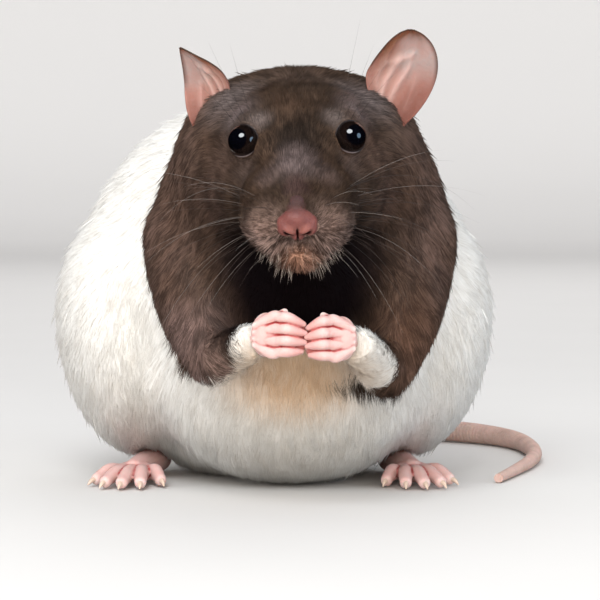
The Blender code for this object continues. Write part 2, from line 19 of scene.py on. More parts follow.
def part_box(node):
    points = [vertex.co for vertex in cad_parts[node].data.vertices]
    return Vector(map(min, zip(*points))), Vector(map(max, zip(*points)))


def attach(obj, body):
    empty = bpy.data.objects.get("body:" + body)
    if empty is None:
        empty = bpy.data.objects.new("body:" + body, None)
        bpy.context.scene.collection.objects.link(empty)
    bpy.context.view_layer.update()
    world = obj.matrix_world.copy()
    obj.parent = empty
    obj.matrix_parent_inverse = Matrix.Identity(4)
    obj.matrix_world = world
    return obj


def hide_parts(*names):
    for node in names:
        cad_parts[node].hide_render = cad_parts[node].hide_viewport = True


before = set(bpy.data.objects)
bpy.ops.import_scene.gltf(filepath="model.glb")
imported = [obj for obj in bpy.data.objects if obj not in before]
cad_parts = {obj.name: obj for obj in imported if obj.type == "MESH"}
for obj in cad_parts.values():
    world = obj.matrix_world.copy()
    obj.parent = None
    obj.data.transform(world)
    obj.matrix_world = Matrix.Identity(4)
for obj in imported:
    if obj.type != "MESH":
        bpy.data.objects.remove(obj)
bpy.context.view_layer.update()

bl_info = {
    "name": "Hooded rat",
    "version": (1, 0, 0),
    "blender": (4, 5, 0),
    "location": "View3D > Sidebar > Rat",
    "description": "Builds the coat, eyes, ears, hands, feet, tail and whiskers of a sitting hooded rat",
    "category": "Mesh",
}

MM = 0.001
SIDES = {"left": -1, "right": 1}
LIMBS = [f"{limb}_{side}" for limb in ("upper_arm", "forearm", "thigh") for side in SIDES]
FLESH = ("head", "neck", "chest", "trunk", *LIMBS)

# The head's turn and its measures, in its own frame
HEAD_TURN = (
    Matrix.Rotation(math.radians(-1.7), 3, "Z")
    @ Matrix.Rotation(math.radians(-2.1), 3, "Y")
    @ Matrix.Rotation(math.radians(22), 3, "X")
)
EYE_BACK, EYE_UP = 26.4, 8.7
EYE_LOOK = Vector((0.47, -0.75, 0.47)).normalized()
EYE_CORNER = (0.72, 0.62, -0.12)
NOSE_PLACE = Vector((-0.6, -22.0, 62.4))
NOSE_MIDDLE = (0, 4, -2)

# Where the arms bend, in the body's frame, from the wrist to the palm's middle, and the rump's place across
SHOULDER = (27.0, 36.0, 57.0)
ELBOW = {"left": (19.2, 17.0, 32.0), "right": (19.0, 17.0, 29.5)}
WRIST = {"left": (9.9, -3.5, 37.4), "right": (11.6, -3.5, 36.6)}
TO_PALM = Vector((-3.6, -2.2, 1.1))
REAR_X = -6.2


def middle_of(node):
    """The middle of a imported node's box."""
    low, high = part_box(node)
    return (Vector(low) + Vector(high)) / 2


EYES = {name: middle_of(f"eye_{name}") for name in SIDES}
EYE_RADIUS = (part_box("eye_left")[1][2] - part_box("eye_left")[0][2]) / 2 / MM
EYE_MIDDLE = (EYES["left"] + EYES["right"]) / 2
HEAD_AT = EYE_MIDDLE - HEAD_TURN @ Vector((0, EYE_BACK, EYE_UP)) * MM
BODY_AT = HEAD_AT - NOSE_PLACE * MM
HEAD = Matrix.Translation(HEAD_AT) @ HEAD_TURN.to_4x4() @ Matrix.Scale(MM, 4)
BODY = Matrix.Translation(BODY_AT) @ Matrix.Scale(MM, 4)


def in_head(points):
    """Points of the scene in the head's frame."""
    return (points - np.array(HEAD_AT)) @ np.array(HEAD_TURN) / MM


def in_body(points):
    """Points of the scene in the body's frame."""
    return (points - np.array(BODY_AT)) / MM


def eased(low, high, x):
    """Rises smoothly from 0 at low to 1 at high."""
    t = np.clip((x - low) / (high - low), 0, 1)
    return t * t * (3 - 2 * t)


def unit(vectors):
    """Vectors of an array, each made of length 1."""
    return vectors / np.maximum(np.linalg.norm(vectors, axis=-1, keepdims=True), 1e-12)


def mirrored(point, side):
    """A point on one side or the other of the middle plane."""
    return (point[0] * side, *point[1:])


def eye_look(side):
    """The way an eye faces, in the scene's frame."""
    return (HEAD_TURN @ Vector(mirrored(EYE_LOOK, side))).normalized()


def arm_of(name):
    """The wrist, elbow and shoulder of an arm, in the body's frame."""
    return [np.array(mirrored(p, SIDES[name])) for p in (WRIST[name], ELBOW[name], SHOULDER)]


def along_line(points, start, end):
    """For each point, how far along a straight line it lies, from 0 to 1, and its distance from the line."""
    way = end - start
    along = np.clip(((points - start) @ way) / np.dot(way, way), 0, 1)
    return along, np.linalg.norm(points - (start + along[:, None] * way), axis=1)


def from_eyes(point):
    """A point's distance in millimetres from the nearer eye's middle."""
    return min((point - centre).length for centre in EYES.values()) / MM


# Meshes

# The rings of a tube's round end, in degrees from its side
CAP_TURNS = (25, 50, 72, 86)


def new_object(name, mesh):
    """Links a mesh to the scene under a name."""
    obj = bpy.data.objects.new(name, mesh)
    bpy.context.scene.collection.objects.link(obj)
    return obj


def remove(*objects):
    """Deletes helpers once they are used."""
    for obj in objects:
        bpy.data.objects.remove(obj, do_unlink=True)


def from_bmesh(name, bm):
    """Turns a bmesh into an object with its faces pointing out."""
    bmesh.ops.recalc_face_normals(bm, faces=bm.faces)
    mesh = bpy.data.meshes.new(name)
    bm.to_mesh(mesh)
    bm.free()
    return new_object(name, mesh)


def baked(obj):
    """Replaces an object's mesh by what its modifiers make of it."""
    graph = bpy.context.evaluated_depsgraph_get()
    mesh = bpy.data.meshes.new_from_object(obj.evaluated_get(graph))
    obj.modifiers.clear()
    obj.data = mesh
    return obj


def finished(obj, material, slot, *nodes):
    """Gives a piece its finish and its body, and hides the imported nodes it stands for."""
    obj.data.materials.clear()
    obj.data.materials.append(material)
    obj.data.shade_smooth()
    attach(obj, "root")
    if nodes:
        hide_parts(*nodes)
    return obj


def on_floor(obj):
    """Raises what lies under the floor onto it."""
    points, _, _ = arrays_of(obj.data)
    points[:, 2] = np.maximum(points[:, 2], 0.0)
    set_points(obj.data, points)


def blob(at, radii, frame_of=BODY, segments=32):
    """An ellipsoid, from its centre and its half sizes."""
    bm = bmesh.new()
    bmesh.ops.create_uvsphere(bm, u_segments=segments, v_segments=segments // 2, radius=1.0)
    place = frame_of @ Matrix.Translation(at) @ Matrix.Diagonal((*radii, 1.0))
    bmesh.ops.transform(bm, matrix=place, verts=bm.verts)
    return from_bmesh("blob", bm)


def smooth_run(points, steps):
    """A smooth run through points of any dimension, by Catmull-Rom, with steps between two of them."""
    rows = [Vector(p) for p in points]
    rows = [2 * rows[0] - rows[1], *rows, 2 * rows[-1] - rows[-2]]
    run = []
    for a, b, c, d in zip(rows, rows[1:], rows[2:], rows[3:]):
        for k in range(steps):
            t = k / steps
            square, cube = t * t * (2 * a - 5 * b + 4 * c - d), t**3 * (3 * b - a - 3 * c + d)
            run.append(0.5 * (2 * b + t * (c - a) + square + cube))
    return [*run, rows[-2]]


def quads_between(bm, rings):
    """Joins each closed ring of points to the next with four-sided faces."""
    for near, far in zip(rings, rings[1:]):
        for j, after in enumerate([*range(1, len(near)), 0]):
            bm.faces.new((near[j], near[after], far[after], far[j]))


def tube(points, radii, sides=16, steps=6, frame_of=BODY):
    """A closed tube with round ends through points, each with its radius."""
    run = smooth_run([(*p, r) for p, r in zip(points, radii)], steps)
    path = [(p.xyz, p.w) for p in run]
    for end, step in ((0, 1), (-1, -1)):
        out = (path[end][0] - path[end + step][0]).normalized()
        centre, radius = path[end]
        turns = [math.radians(a) for a in CAP_TURNS]
        cap = [(centre + out * radius * math.sin(a), radius * math.cos(a)) for a in turns]
        path = [*reversed(cap), *path] if end == 0 else [*path, *cap]
    bm = bmesh.new()
    rings, side = [], None
    for k, (centre, radius) in enumerate(path):
        ahead = (path[min(k + 1, len(path) - 1)][0] - path[max(k - 1, 0)][0]).normalized()
        side = side or ahead.orthogonal()
        side = (side - ahead * side.dot(ahead)).normalized()
        up = side.cross(ahead)
        angles = [2 * math.pi * j / sides for j in range(sides)]
        spots = [centre + (side * math.cos(a) + up * math.sin(a)) * radius for a in angles]
        rings.append([bm.verts.new(frame_of @ p) for p in spots])
    quads_between(bm, rings)
    bm.faces.new(rings[0][::-1])
    bm.faces.new(rings[-1])
    return from_bmesh("tube", bm)


def joined(name, pieces):
    """One object from several, which are then removed."""
    bm = bmesh.new()
    for piece in pieces:
        bm.from_mesh(piece.data)
    remove(*pieces)
    return from_bmesh(name, bm)


def fused(name, pieces, voxel, rounds):
    """One smooth closed skin over overlapping pieces, which are then removed."""
    obj = joined(name, pieces)
    skin = obj.modifiers.new("skin", "REMESH")
    skin.mode = "VOXEL"
    skin.voxel_size = voxel * MM
    soften = obj.modifiers.new("soften", "SMOOTH")
    soften.factor = 0.5
    soften.iterations = rounds
    return baked(obj)


def arrays_of(mesh):
    """The points, triangles and point normals of a mesh."""
    mesh.calc_loop_triangles()
    points = np.empty(len(mesh.vertices) * 3)
    mesh.vertices.foreach_get("co", points)
    triangles = np.empty(len(mesh.loop_triangles) * 3, dtype=np.int32)
    mesh.loop_triangles.foreach_get("vertices", triangles)
    normals = np.empty(len(mesh.vertices) * 3)
    mesh.vertex_normals.foreach_get("vector", normals)
    return points.reshape(-1, 3), triangles.reshape(-1, 3), normals.reshape(-1, 3)


def set_points(mesh, points):
    """Moves a mesh's points."""
    mesh.vertices.foreach_set("co", points.astype(np.float32).ravel())
    mesh.update()


def set_attribute(mesh, name, values):
    """Keeps a number or a vector with each point of a mesh."""
    kind = "FLOAT" if values.ndim == 1 else "FLOAT_VECTOR"
    made = mesh.attributes.new(name, kind, "POINT")
    made.data.foreach_set("value" if values.ndim == 1 else "vector", values.astype(np.float32).ravel())


def set_hollows(obj, spread=0.35, rounds=4):
    """Keeps how hollow or how raised a mesh is at each point, from 0 in a crease to 1 on a ridge."""
    mesh = obj.data
    points, _, normals = arrays_of(mesh)
    edges = np.empty(len(mesh.edges) * 2, dtype=np.int32)
    mesh.edges.foreach_get("vertices", edges)
    a, b = edges.reshape(-1, 2).T
    count = np.bincount(np.r_[a, b], minlength=len(points))
    bend = np.zeros(len(points))
    step = points[b] - points[a]
    length = np.linalg.norm(step, axis=1) + 1e-12
    np.add.at(bend, a, -(step * normals[a]).sum(1) / length)
    np.add.at(bend, b, (step * normals[b]).sum(1) / length)
    bend /= np.maximum(count, 1)
    for _ in range(rounds):
        total = np.zeros(len(points))
        np.add.at(total, a, bend[b])
        np.add.at(total, b, bend[a])
        bend = 0.5 * bend + 0.5 * total / np.maximum(count, 1)
    set_attribute(mesh, "raised", np.clip(0.5 + bend / spread, 0, 1))


# Settings that a user would change


class RatColours(bpy.types.PropertyGroup):
    """Colours of the coat and the bare skin."""

    def colour(name, text, value):
        return bpy.props.FloatVectorProperty(
            name=name, description=text, default=value, size=3, subtype="COLOR", min=0, max=1
        )

    hood: colour("Hood", "Dark fur of head, neck and chest", (0.046, 0.030, 0.021))
    # Lighter brown on the sides of the hood: partly the fur's own colour, partly painted light that falls on
    # the sides
    hood_side_fur_and_light: colour("Hood side", "Lighter brown fur on the sides of the hood", (0.084, 0.053, 0.042))
    # Near-black between chin and hands: partly dark fur, partly painted shade in the hollow there
    throat_fur_and_shade: colour("Throat", "Near-black fur between chin and hands", (0.010, 0.006, 0.008))
    pad: colour("Pads", "Pale grey-brown hairs of the whisker pads", (0.285, 0.202, 0.172))
    chin: colour("Chin", "Pale orange-brown hairs of the chin", (0.390, 0.225, 0.158))
    white: colour("White", "White fur of the body", (0.880, 0.872, 0.842))
    # Warm bounce light, painted low on the belly as cream fur
    belly: colour("Belly", "Cream fur low on the belly", (0.900, 0.600, 0.345))
    pink: colour("Pink", "Bare skin of hands and feet", (0.600, 0.390, 0.365))
    # Red of the skin in the folds, darkened as painted shade
    crease: colour("Crease", "Reddish skin in the folds of hands and feet", (0.330, 0.040, 0.038))
    nose: colour("Nose", "Bare skin of the nose", (0.135, 0.045, 0.040))
    ear: colour("Ear", "Thin skin of the ears", (0.385, 0.205, 0.168))
    tail: colour("Tail", "Ringed skin of the tail", (0.560, 0.390, 0.340))


class RatCoat(bpy.types.PropertyGroup):
    """How many tufts the coat has and how they lie."""

    tufts: bpy.props.IntProperty(
        name="Tufts", description="Number of tufts over the whole rat", default=345000, min=1000
    )
    lift: bpy.props.FloatProperty(
        name="Lift",
        description="Angle between a tuft of the back and the skin",
        default=math.radians(12),
        subtype="ANGLE",
        unit="ROTATION",
    )
    clump: bpy.props.FloatProperty(
        name="Clump",
        description="How far tips lean together into locks",
        default=0.16,
        min=0,
        max=1,
        subtype="FACTOR",
    )
    seed: bpy.props.IntProperty(name="Seed", description="Seed of all random draws", default=7)


# Materials


class Wire:
    """A socket of a material's tree, with arithmetic that adds Math nodes."""

    def __init__(self, paint, socket):
        self.paint = paint
        self.socket = socket

    def made(self, operation, *values, clamp=False):
        facts = {"operation": operation, "use_clamp": clamp}
        return self.paint.node("ShaderNodeMath", facts, dict(enumerate(values)))

    def __add__(self, other):
        return self.made("ADD", self, other)

    def __radd__(self, other):
        return self.made("ADD", other, self)

    def __sub__(self, other):
        return self.made("SUBTRACT", self, other)

    def __rsub__(self, other):
        return self.made("SUBTRACT", other, self)

    def __mul__(self, other):
        return self.made("MULTIPLY", self, other)

    def __rmul__(self, other):
        return self.made("MULTIPLY", other, self)

    def __truediv__(self, other):
        return self.made("DIVIDE", self, other)

    def __pow__(self, other):
        return self.made("POWER", self, other)

    def __abs__(self):
        return self.made("ABSOLUTE", self)

    def clamped(self):
        return self.made("ADD", self, 0.0, clamp=True)

    def least(self, other):
        return self.made("MINIMUM", self, other)

    def most(self, other):
        return self.made("MAXIMUM", self, other)

    def rise(self, low, high):
        """Smoothly 0 below low and 1 above high."""
        facts = {"Value": self, "From Min": low, "From Max": high, "To Min": 0.0, "To Max": 1.0}
        return self.paint.node("ShaderNodeMapRange", {"interpolation_type": "SMOOTHSTEP"}, facts)


class Paint:
    """One material and the Principled shader that ends it."""

    def __init__(self, name, roughness=0.6, **constants):
        self.material = bpy.data.materials.new(name)
        self.material.use_nodes = True
        self.tree = self.material.node_tree
        self.shader = self.tree.nodes["Principled BSDF"]
        self.shader.inputs["Roughness"].default_value = roughness
        for socket, value in constants.items():
            self.shader.inputs[socket.replace("_", " ")].default_value = value

    def feed(self, socket, value):
        """Links a wire to a socket, or sets the socket's own value."""
        if isinstance(value, Wire):
            self.tree.links.new(value.socket, socket)
        elif hasattr(value, "__len__") and socket.type == "RGBA":
            socket.default_value = (*value[:3], 1.0)
        else:
            socket.default_value = value

    def node(self, kind, settings=None, inputs=None, output=0):
        """Adds a node of any type with its settings and the values or links of its sockets."""
        made = self.tree.nodes.new(kind)
        for key, value in (settings or {}).items():
            if key == "stops":
                while len(made.color_ramp.elements) < len(value):
                    made.color_ramp.elements.new(1.0)
                for stop, (place, colour) in zip(made.color_ramp.elements, value):
                    stop.position, stop.color = place, (*colour, 1.0)
            else:
                setattr(made, key, value)
        for key, value in (inputs or {}).items():
            self.feed(made.inputs[key], value)
        return Wire(self, made.outputs[output])

    def place(self):
        """Where a point is on the piece, in metres."""
        return self.node("ShaderNodeTexCoord", output="Object")

    def attribute(self, name, output="Fac"):
        """A number or vector kept with the mesh."""
        return self.node("ShaderNodeAttribute", {"attribute_name": name}, output=output)

    def parts(self, vector):
        """The x, y and z of a vector."""
        return [self.node("ShaderNodeSeparateXYZ", None, {0: vector}, k) for k in range(3)]

    def noise(self, vector, size, detail=2.0):
        """Noise with features of a size in millimetres, about 0.5 on average."""
        facts = {"Vector": vector, "Scale": 1.0 / (size * MM), "Detail": detail, "Roughness": 0.5}
        return self.node("ShaderNodeTexNoise", None, facts)

    def cells(self, vector, size):
        """Distance to the nearest of scattered cells of a size in millimetres."""
        facts = {"Vector": vector, "Scale": 1.0 / (size * MM)}
        return self.node("ShaderNodeTexVoronoi", {"feature": "F1"}, facts)

    def vectors(self, operation, inputs, output=0):
        """A Vector Math node."""
        return self.node("ShaderNodeVectorMath", {"operation": operation}, inputs, output)

    def away(self, vector, centre):
        """Distance in millimetres from a point of the scene."""
        return self.vectors("DISTANCE", {0: vector, 1: tuple(centre)}, "Value") / MM

    def from_line(self, vector, start, end):
        """Distance in millimetres from a straight line between two points of the scene."""
        way = Vector(end) - Vector(start)
        off = self.vectors("SUBTRACT", {0: vector, 1: tuple(start)})
        share = self.vectors("DOT_PRODUCT", {0: off, 1: tuple(way / way.length_squared)}, "Value").clamped()
        nearest = self.vectors("SCALE", {0: tuple(way), "Scale": share})
        return self.vectors("DISTANCE", {0: off, 1: nearest}, "Value") / MM

    def mix(self, factor, first, second, blend="MIX"):
        """Mixes two colours."""
        kind = {"data_type": "RGBA", "blend_type": blend, "clamp_factor": True}
        return self.node("ShaderNodeMix", kind, {0: factor, 6: first, 7: second}, output=2)

    def times(self, colour, by):
        """A colour multiplied by another."""
        return self.mix(1.0, colour, by, "MULTIPLY")

    def bump(self, height, depth):
        """A bump whose height of 1 stands for a depth in millimetres."""
        facts = {"Strength": 1.0, "Distance": depth * MM, "Height": height}
        return self.node("ShaderNodeBump", None, facts)

    def end(self, **sockets):
        """Feeds the shader and gives the finished material."""
        for socket, value in sockets.items():
            self.feed(self.shader.inputs[socket.replace("_", " ")], value)
        return self.material


HOOD_EDGE_Y, HOOD_EDGE_Z, HOOD_LEAN = 51.0, 50.0, math.tan(math.radians(8))
HOOD_OUT, HOOD_MIDDLE, HOOD_DOWN, HOOD_UP = 34.8, 57.0, 40.5, 64.0
WHITE_ARM = {
    "left": ((9.0, -3.5, 37.5), (10.5, 2.0, 34.5), 5.0),
    "right": ((10.5, -3.5, 36.5), (14.6, 5.0, 29.6), 6.2),
}


def radius_of(wide, tall):
    """The distance from the middle of two wires that count across and up."""
    return (wide * wide + tall * tall) ** 0.5


def hood_edge(paint, place, x, y, z):
    """Millimetres beyond the edge of the dark hood, above nought on white fur."""
    torn = (paint.noise(place, 16.0, 2.0) - 0.5) * 9 - (1 - abs(x).rise(0.0, 12.0)) * 5
    behind = (y - HOOD_EDGE_Y) + (z - HOOD_EDGE_Z) * HOOD_LEAN + torn
    rise = z - HOOD_MIDDLE
    tall = (rise / HOOD_UP).most(rise * (-1 / HOOD_DOWN))
    beside = (radius_of(x / HOOD_OUT, tall) - 1) * HOOD_OUT - (1 - y.rise(32.0, 44.0)) * 4
    left = 36 - (x * -1).rise(9.0, 19.0) * 9.5
    right = 36 - x.rise(13.0, 18.0) * 15.0
    below = left.least(right) - z
    # A dark patch under the right elbow: partly dark hair, partly painted shadow under the arm
    patch = (radius_of((x - 17.5) / 8.0, (z - 23.6) / 2.6) - 1) * 2.6
    white = behind.most(beside).most(below.least(patch))
    for name, side in SIDES.items():
        *ends, reach = WHITE_ARM[name]
        start, end = (BODY @ Vector(mirrored(p, side)) for p in ends)
        white = white.most(reach - paint.from_line(place, start, end))
    return white


# Lighter and darker zones of the hood, among them painted warm bounce light and painted shadow: frame,
# middle, where each fades from and to, strength and colour
BODY_ZONES_WITH_PAINTED_LIGHT = (
    (BODY, (-17, 4, 31), 1.0, 8.5, 1.0, (0.230, 0.156, 0.131)),
    # painted warm light bounced up onto the low right of the hood
    (BODY, (25, 15, 34), 3.0, 15.0, 0.7, (0.130, 0.070, 0.046)),
    (HEAD, (0, 20, 11.5), 2.0, 9.5, 0.9, (0.020, 0.014, 0.011)),
    # painted shadow under the sides of the muzzle, on both sides
    (BODY, (-15, 12, 54), 3.0, 11.0, 0.65, (0.020, 0.013, 0.012)),
    (BODY, (15, 12, 54), 3.0, 11.0, 0.65, (0.020, 0.013, 0.012)),
    (HEAD, (0, 50, 14), 3.0, 13.0, 0.5, (0.082, 0.056, 0.044)),
)
# The same for each side of the head, among them painted grey sheen on the dark fur
FACE_ZONES_WITH_SHEEN = (
    # painted pale grey sheen on the dark fur of the temples and brows
    ((14.5, 45.0, 11.0), 1.0, 11.0, 0.65, (0.120, 0.102, 0.102)),
    ((12.6, 35.0, 11.0), 0.5, 8.0, 0.75, (0.170, 0.136, 0.134)),
    ((8.0, 28.6, 12.8), 0.2, 4.6, 0.8, (0.120, 0.100, 0.096)),
    ((18.5, 31.0, -8.0), 2.0, 9.0, 0.45, (0.086, 0.054, 0.045)),
    ((13.0, 20.0, -6.0), 2.0, 9.0, 0.4, (0.036, 0.023, 0.018)),
    ((11.0, 24.0, 3.0), 0.5, 6.5, 0.5, (0.088, 0.064, 0.058)),
    ((17.0, 31.0, 2.0), 1.0, 9.0, 0.75, (0.112, 0.072, 0.056)),
    # painted grey sheen on the fur between the eye and the nose
    ((6.2, 14.0, 5.4), 0.5, 5.0, 0.6, (0.125, 0.090, 0.082)),
)


def fur_colour(paint, place, tone, tip):
    """The colour of the fur at a place, with a tone of its own for each tuft and paler tips on the hood, and
    with painted light, sheen and shade in some places.
    """
    colours = bpy.context.scene.rat_colours
    x, y, z = paint.parts(place)
    x = (x - BODY_AT.x) / MM
    y = (y - BODY_AT.y) / MM
    z = (z - BODY_AT.z) / MM
    ragged = (paint.noise(place, 3.0, 2.0) - 0.5) * 2.4 + (tone - 0.5) * 1.8
    is_white = (hood_edge(paint, place, x, y, z) + ragged).rise(-0.8, 0.8)

    def zone(frame_of, centre, near, far, torn=0.7):
        return 1 - (paint.away(place, frame_of @ Vector(centre)) + ragged * torn).rise(near, far)

    # The sides of the hood are lighter, partly by their fur's colour and partly by painted side light
    sides = abs(x).rise(13.0, 32.0)
    base = paint.mix(sides * (1 - y.rise(30.0, 60.0) * 0.4), tuple(colours.hood), tuple(colours.hood_side_fur_and_light))
    # Painted light: a paler patch low on the left of the hood, where the light from the left falls
    base = paint.mix(zone(BODY, (-23, 15, 33), 4.0, 17.0) * 0.8, base, (0.190, 0.130, 0.118))
    patches = paint.noise(place, 12.0, 2.0).rise(0.35, 0.75)
    base = paint.mix(patches * 0.4, base, (0.085, 0.048, 0.030))
    for frame_of, middle, near, far, strength, colour in BODY_ZONES_WITH_PAINTED_LIGHT:
        base = paint.mix(zone(frame_of, middle, near, far) * strength, base, colour)
    # Near-black between chin and hands: partly dark fur, partly painted shade in the hollow between them
    throat_fur_and_shade = zone(BODY, (0, 6, 47), 13.0, 25.0) * (1 - zone(HEAD, (0, 6, -3), 12.5, 16.0))
    base = paint.mix(throat_fur_and_shade, base, tuple(colours.throat_fur_and_shade))
    hair = tone.rise(0.30, 0.85)
    cheek = paint.mix(hair, (0.125, 0.079, 0.065), tuple(colours.pad))
    for side in SIDES.values():
        for middle, near, far, strength, colour in FACE_ZONES_WITH_SHEEN:
            base = paint.mix(zone(HEAD, mirrored(middle, side), near, far) * strength, base, colour)
        base = paint.mix(zone(HEAD, (5.4 * side, 4.2, -5.4), 3.0, 10.8, 1.0), base, cheek)
    # a painted grey highlight along the bridge of the nose
    base = paint.mix(zone(HEAD, (0, 14.0, 8.0), 1.0, 8.0) * 0.8, base, (0.135, 0.105, 0.104))
    base = paint.mix(zone(HEAD, (0, 7.4, 5.6), 1.2, 4.6) * 0.85, base, (0.062, 0.036, 0.033))
    lip = paint.mix(hair, (0.200, 0.102, 0.070), tuple(colours.chin))
    base = paint.mix(zone(HEAD, (0, 5.0, -11.6), 2.0, 6.5), base, lip)
    lit = tone.rise(0.2, 0.95) * (0.3 + 0.7 * tip) * (1 - throat_fur_and_shade * 0.9)
    dark = paint.mix(lit, paint.times(base, (0.60, 0.58, 0.56)), paint.times(base, (2.30, 2.25, 2.25)))

    # Painted warm bounce light: the low belly is tinted cream
    low = 1 - radius_of((x + 1.0) / 21.0, (z - 27.0) / 13.0).rise(0.25, 1.15)
    warm_bounce = low * (1 - y.rise(22.0, 60.0))
    pale = paint.mix(warm_bounce * 0.85, tuple(colours.white), tuple(colours.belly))
    pale = paint.mix(tone.rise(0.0, 0.7), paint.times(pale, (0.84, 0.82, 0.80)), pale)
    pale = paint.mix(tone.rise(0.4, 1.0) * 0.3, pale, (0.93, 0.92, 0.90))
    return paint.mix(is_white, dark, pale)


def coat_material():
    """Fur, whose markings follow the place where each tuft shows."""
    paint = Paint("coat_fur", roughness=0.6, Specular_IOR_Level=0.2)
    mark, tone, tip = paint.attribute("mark", "Vector"), paint.attribute("tone"), paint.attribute("along")
    colour = fur_colour(paint, mark, tone, tip)
    # Painted shade: each tuft is darker towards its root, deep in the coat
    shade = paint.mix((1 - tip) * 0.16, colour, paint.times(colour, (0.45, 0.40, 0.38)))
    return paint.end(Base_Color=shade, Roughness=0.68 - 0.16 * tip)


def skin_material():
    """The skin under the coat, in the coat's markings and a little darker as painted shade deep in the coat,
    with fine fur in its bump.
    """
    paint = Paint("under_coat", roughness=0.85, Specular_IOR_Level=0.1)
    place = paint.place()
    tone = paint.noise(place, 0.6, 1.0)
    colour = fur_colour(paint, place, tone, tone)
    return paint.end(Base_Color=paint.times(colour, (0.92, 0.90, 0.88)), Normal=paint.bump(tone, 0.15))


# The line along which the fingertips of both hands meet, where painted shade darkens the skin between them
FINGERS_MEET = ((1.2, -8.0, 33.5), (1.2, -8.0, 41.0))


def bare_material(name, base, crease, scale_size):
    """Bare skin with painted highlights on its ridges, red folds darkened by painted shade, blotches and fine
    scales, and darker red where the fingertips meet, partly painted shade between the hands.
    """
    paint = Paint(name, roughness=0.5, Subsurface_Weight=0.25, Subsurface_Scale=0.0012)
    paint.shader.inputs["Subsurface Radius"].default_value = (1.0, 0.35, 0.25)
    place, raised = paint.place(), paint.attribute("raised")
    blotch = paint.noise(place, 2.4, 3.0)
    # Folds take the crease colour: red skin, partly painted shade in them
    colour = paint.mix(raised.rise(0.20, 0.56), crease, base)
    start, end = (BODY @ Vector(p) for p in FINGERS_MEET)
    meeting = 1 - paint.from_line(place, start, end).rise(0.8, 5.5)
    # Painted highlights on the ridges
    colour = paint.mix(raised.rise(0.58, 0.90) * (1 - meeting) * 0.8, colour, (0.80, 0.70, 0.67))
    # Darker red where the fingertips meet, most in the hollows: partly redder skin, partly painted shade
    # between the hands
    colour = paint.mix(meeting * (0.25 + 0.60 * (1 - raised.rise(0.40, 0.80))), colour, (0.420, 0.105, 0.095))
    colour = paint.mix((blotch - 0.45).clamped() * 1.2, colour, (0.56, 0.27, 0.25))
    scales = paint.cells(place, scale_size)
    fine = paint.noise(place, 0.25, 2.0)
    height = scales * 0.5 + fine * 0.4
    return paint.end(Base_Color=colour, Roughness=0.42 + 0.22 * fine, Normal=paint.bump(height, 0.06))


def nose_material():
    """The moist pebbled skin of the nose, greyer on top, with painted highlights low on its wings and painted
    shade in the nostrils and in the cleft.
    """
    colours = bpy.context.scene.rat_colours
    glow = {"Subsurface_Weight": 0.10, "Subsurface_Scale": 0.0008}
    paint = Paint("nose_skin", roughness=0.4, Specular_IOR_Level=0.3, **glow)
    place, nostril = paint.place(), paint.attribute("nostril")
    blotch = (paint.noise(place, 1.6, 2.0) - 0.4).clamped() * 1.3
    colour = paint.mix(blotch, tuple(colours.nose), (0.200, 0.072, 0.060))
    for side in SIDES.values():
        # Painted highlights low on the wings of the nose
        wing_highlight = 1 - paint.away(place, HEAD @ Vector((1.6 * side, -0.8, -1.2))).rise(0.6, 2.2)
        colour = paint.mix(wing_highlight * 0.4, colour, (0.300, 0.115, 0.092))
    top = 1 - paint.away(place, HEAD @ Vector((0, 4.4, 5.6))).rise(2.2, 6.4)
    colour = paint.mix(top * 0.9, colour, (0.046, 0.025, 0.024))
    # Painted shade in the nostrils and in the cleft
    colour = paint.mix(nostril.rise(0.08, 0.55), colour, (0.012, 0.0015, 0.0015))
    pebbles = paint.cells(place, 0.40)
    rough = 0.34 + 0.2 * pebbles + 0.25 * top
    return paint.end(Base_Color=colour, Roughness=rough, Normal=paint.bump(pebbles, 0.07))


def ear_material():
    """Thin ear skin: rust-brown upper rim, pink folds, a red hollow at the root and a greyish thin part."""
    colours = bpy.context.scene.rat_colours
    glow = {"Subsurface_Weight": 0.3, "Subsurface_Scale": 0.0015}
    paint = Paint("ear_skin", roughness=0.6, Specular_IOR_Level=0.3, **glow)
    paint.shader.inputs["Subsurface Radius"].default_value = (1.0, 0.4, 0.3)
    place = paint.place()
    across, up, fold = paint.attribute("across"), paint.attribute("up"), paint.attribute("fold")
    inside, rim = paint.attribute("inside"), paint.attribute("rim")
    blotch = paint.noise(place, 2.6, 3.0)
    colour = paint.mix(up.rise(0.12, 0.55), (0.190, 0.070, 0.052), tuple(colours.ear))
    thin = (across + up * 0.7).rise(0.62, 1.0) * up.rise(0.42, 0.62)
    colour = paint.mix(thin * 0.85, colour, (0.290, 0.250, 0.238))
    colour = paint.mix((blotch - 0.42).clamped() * 1.4, colour, (0.360, 0.175, 0.145))
    colour = paint.mix(fold * 0.8, colour, (0.540, 0.370, 0.335))
    rust = (1 - across.rise(0.05, 0.50)) * up.rise(0.45, 0.75) + up.rise(0.76, 0.98)
    colour = paint.mix(rust.clamped() * 0.9, colour, (0.150, 0.048, 0.015))
    x, _, _ = paint.parts(place)
    low = across.rise(0.40, 0.9) * (1 - up.rise(0.40, 0.72)) * (0.35 + 0.65 * x.rise(-0.001, 0.001))
    colour = paint.mix(low * 0.85, colour, (0.165, 0.062, 0.046))
    colour = paint.mix((1 - inside) * 0.65, colour, (0.105, 0.066, 0.054))
    colour = paint.mix(rim * 0.9, colour, (0.035, 0.021, 0.014))
    height = paint.noise(place, 0.5, 3.0) + 0.6 * paint.cells(place, 0.9)
    return paint.end(Base_Color=colour, Roughness=0.52 + 0.2 * blotch, Normal=paint.bump(height, 0.10))


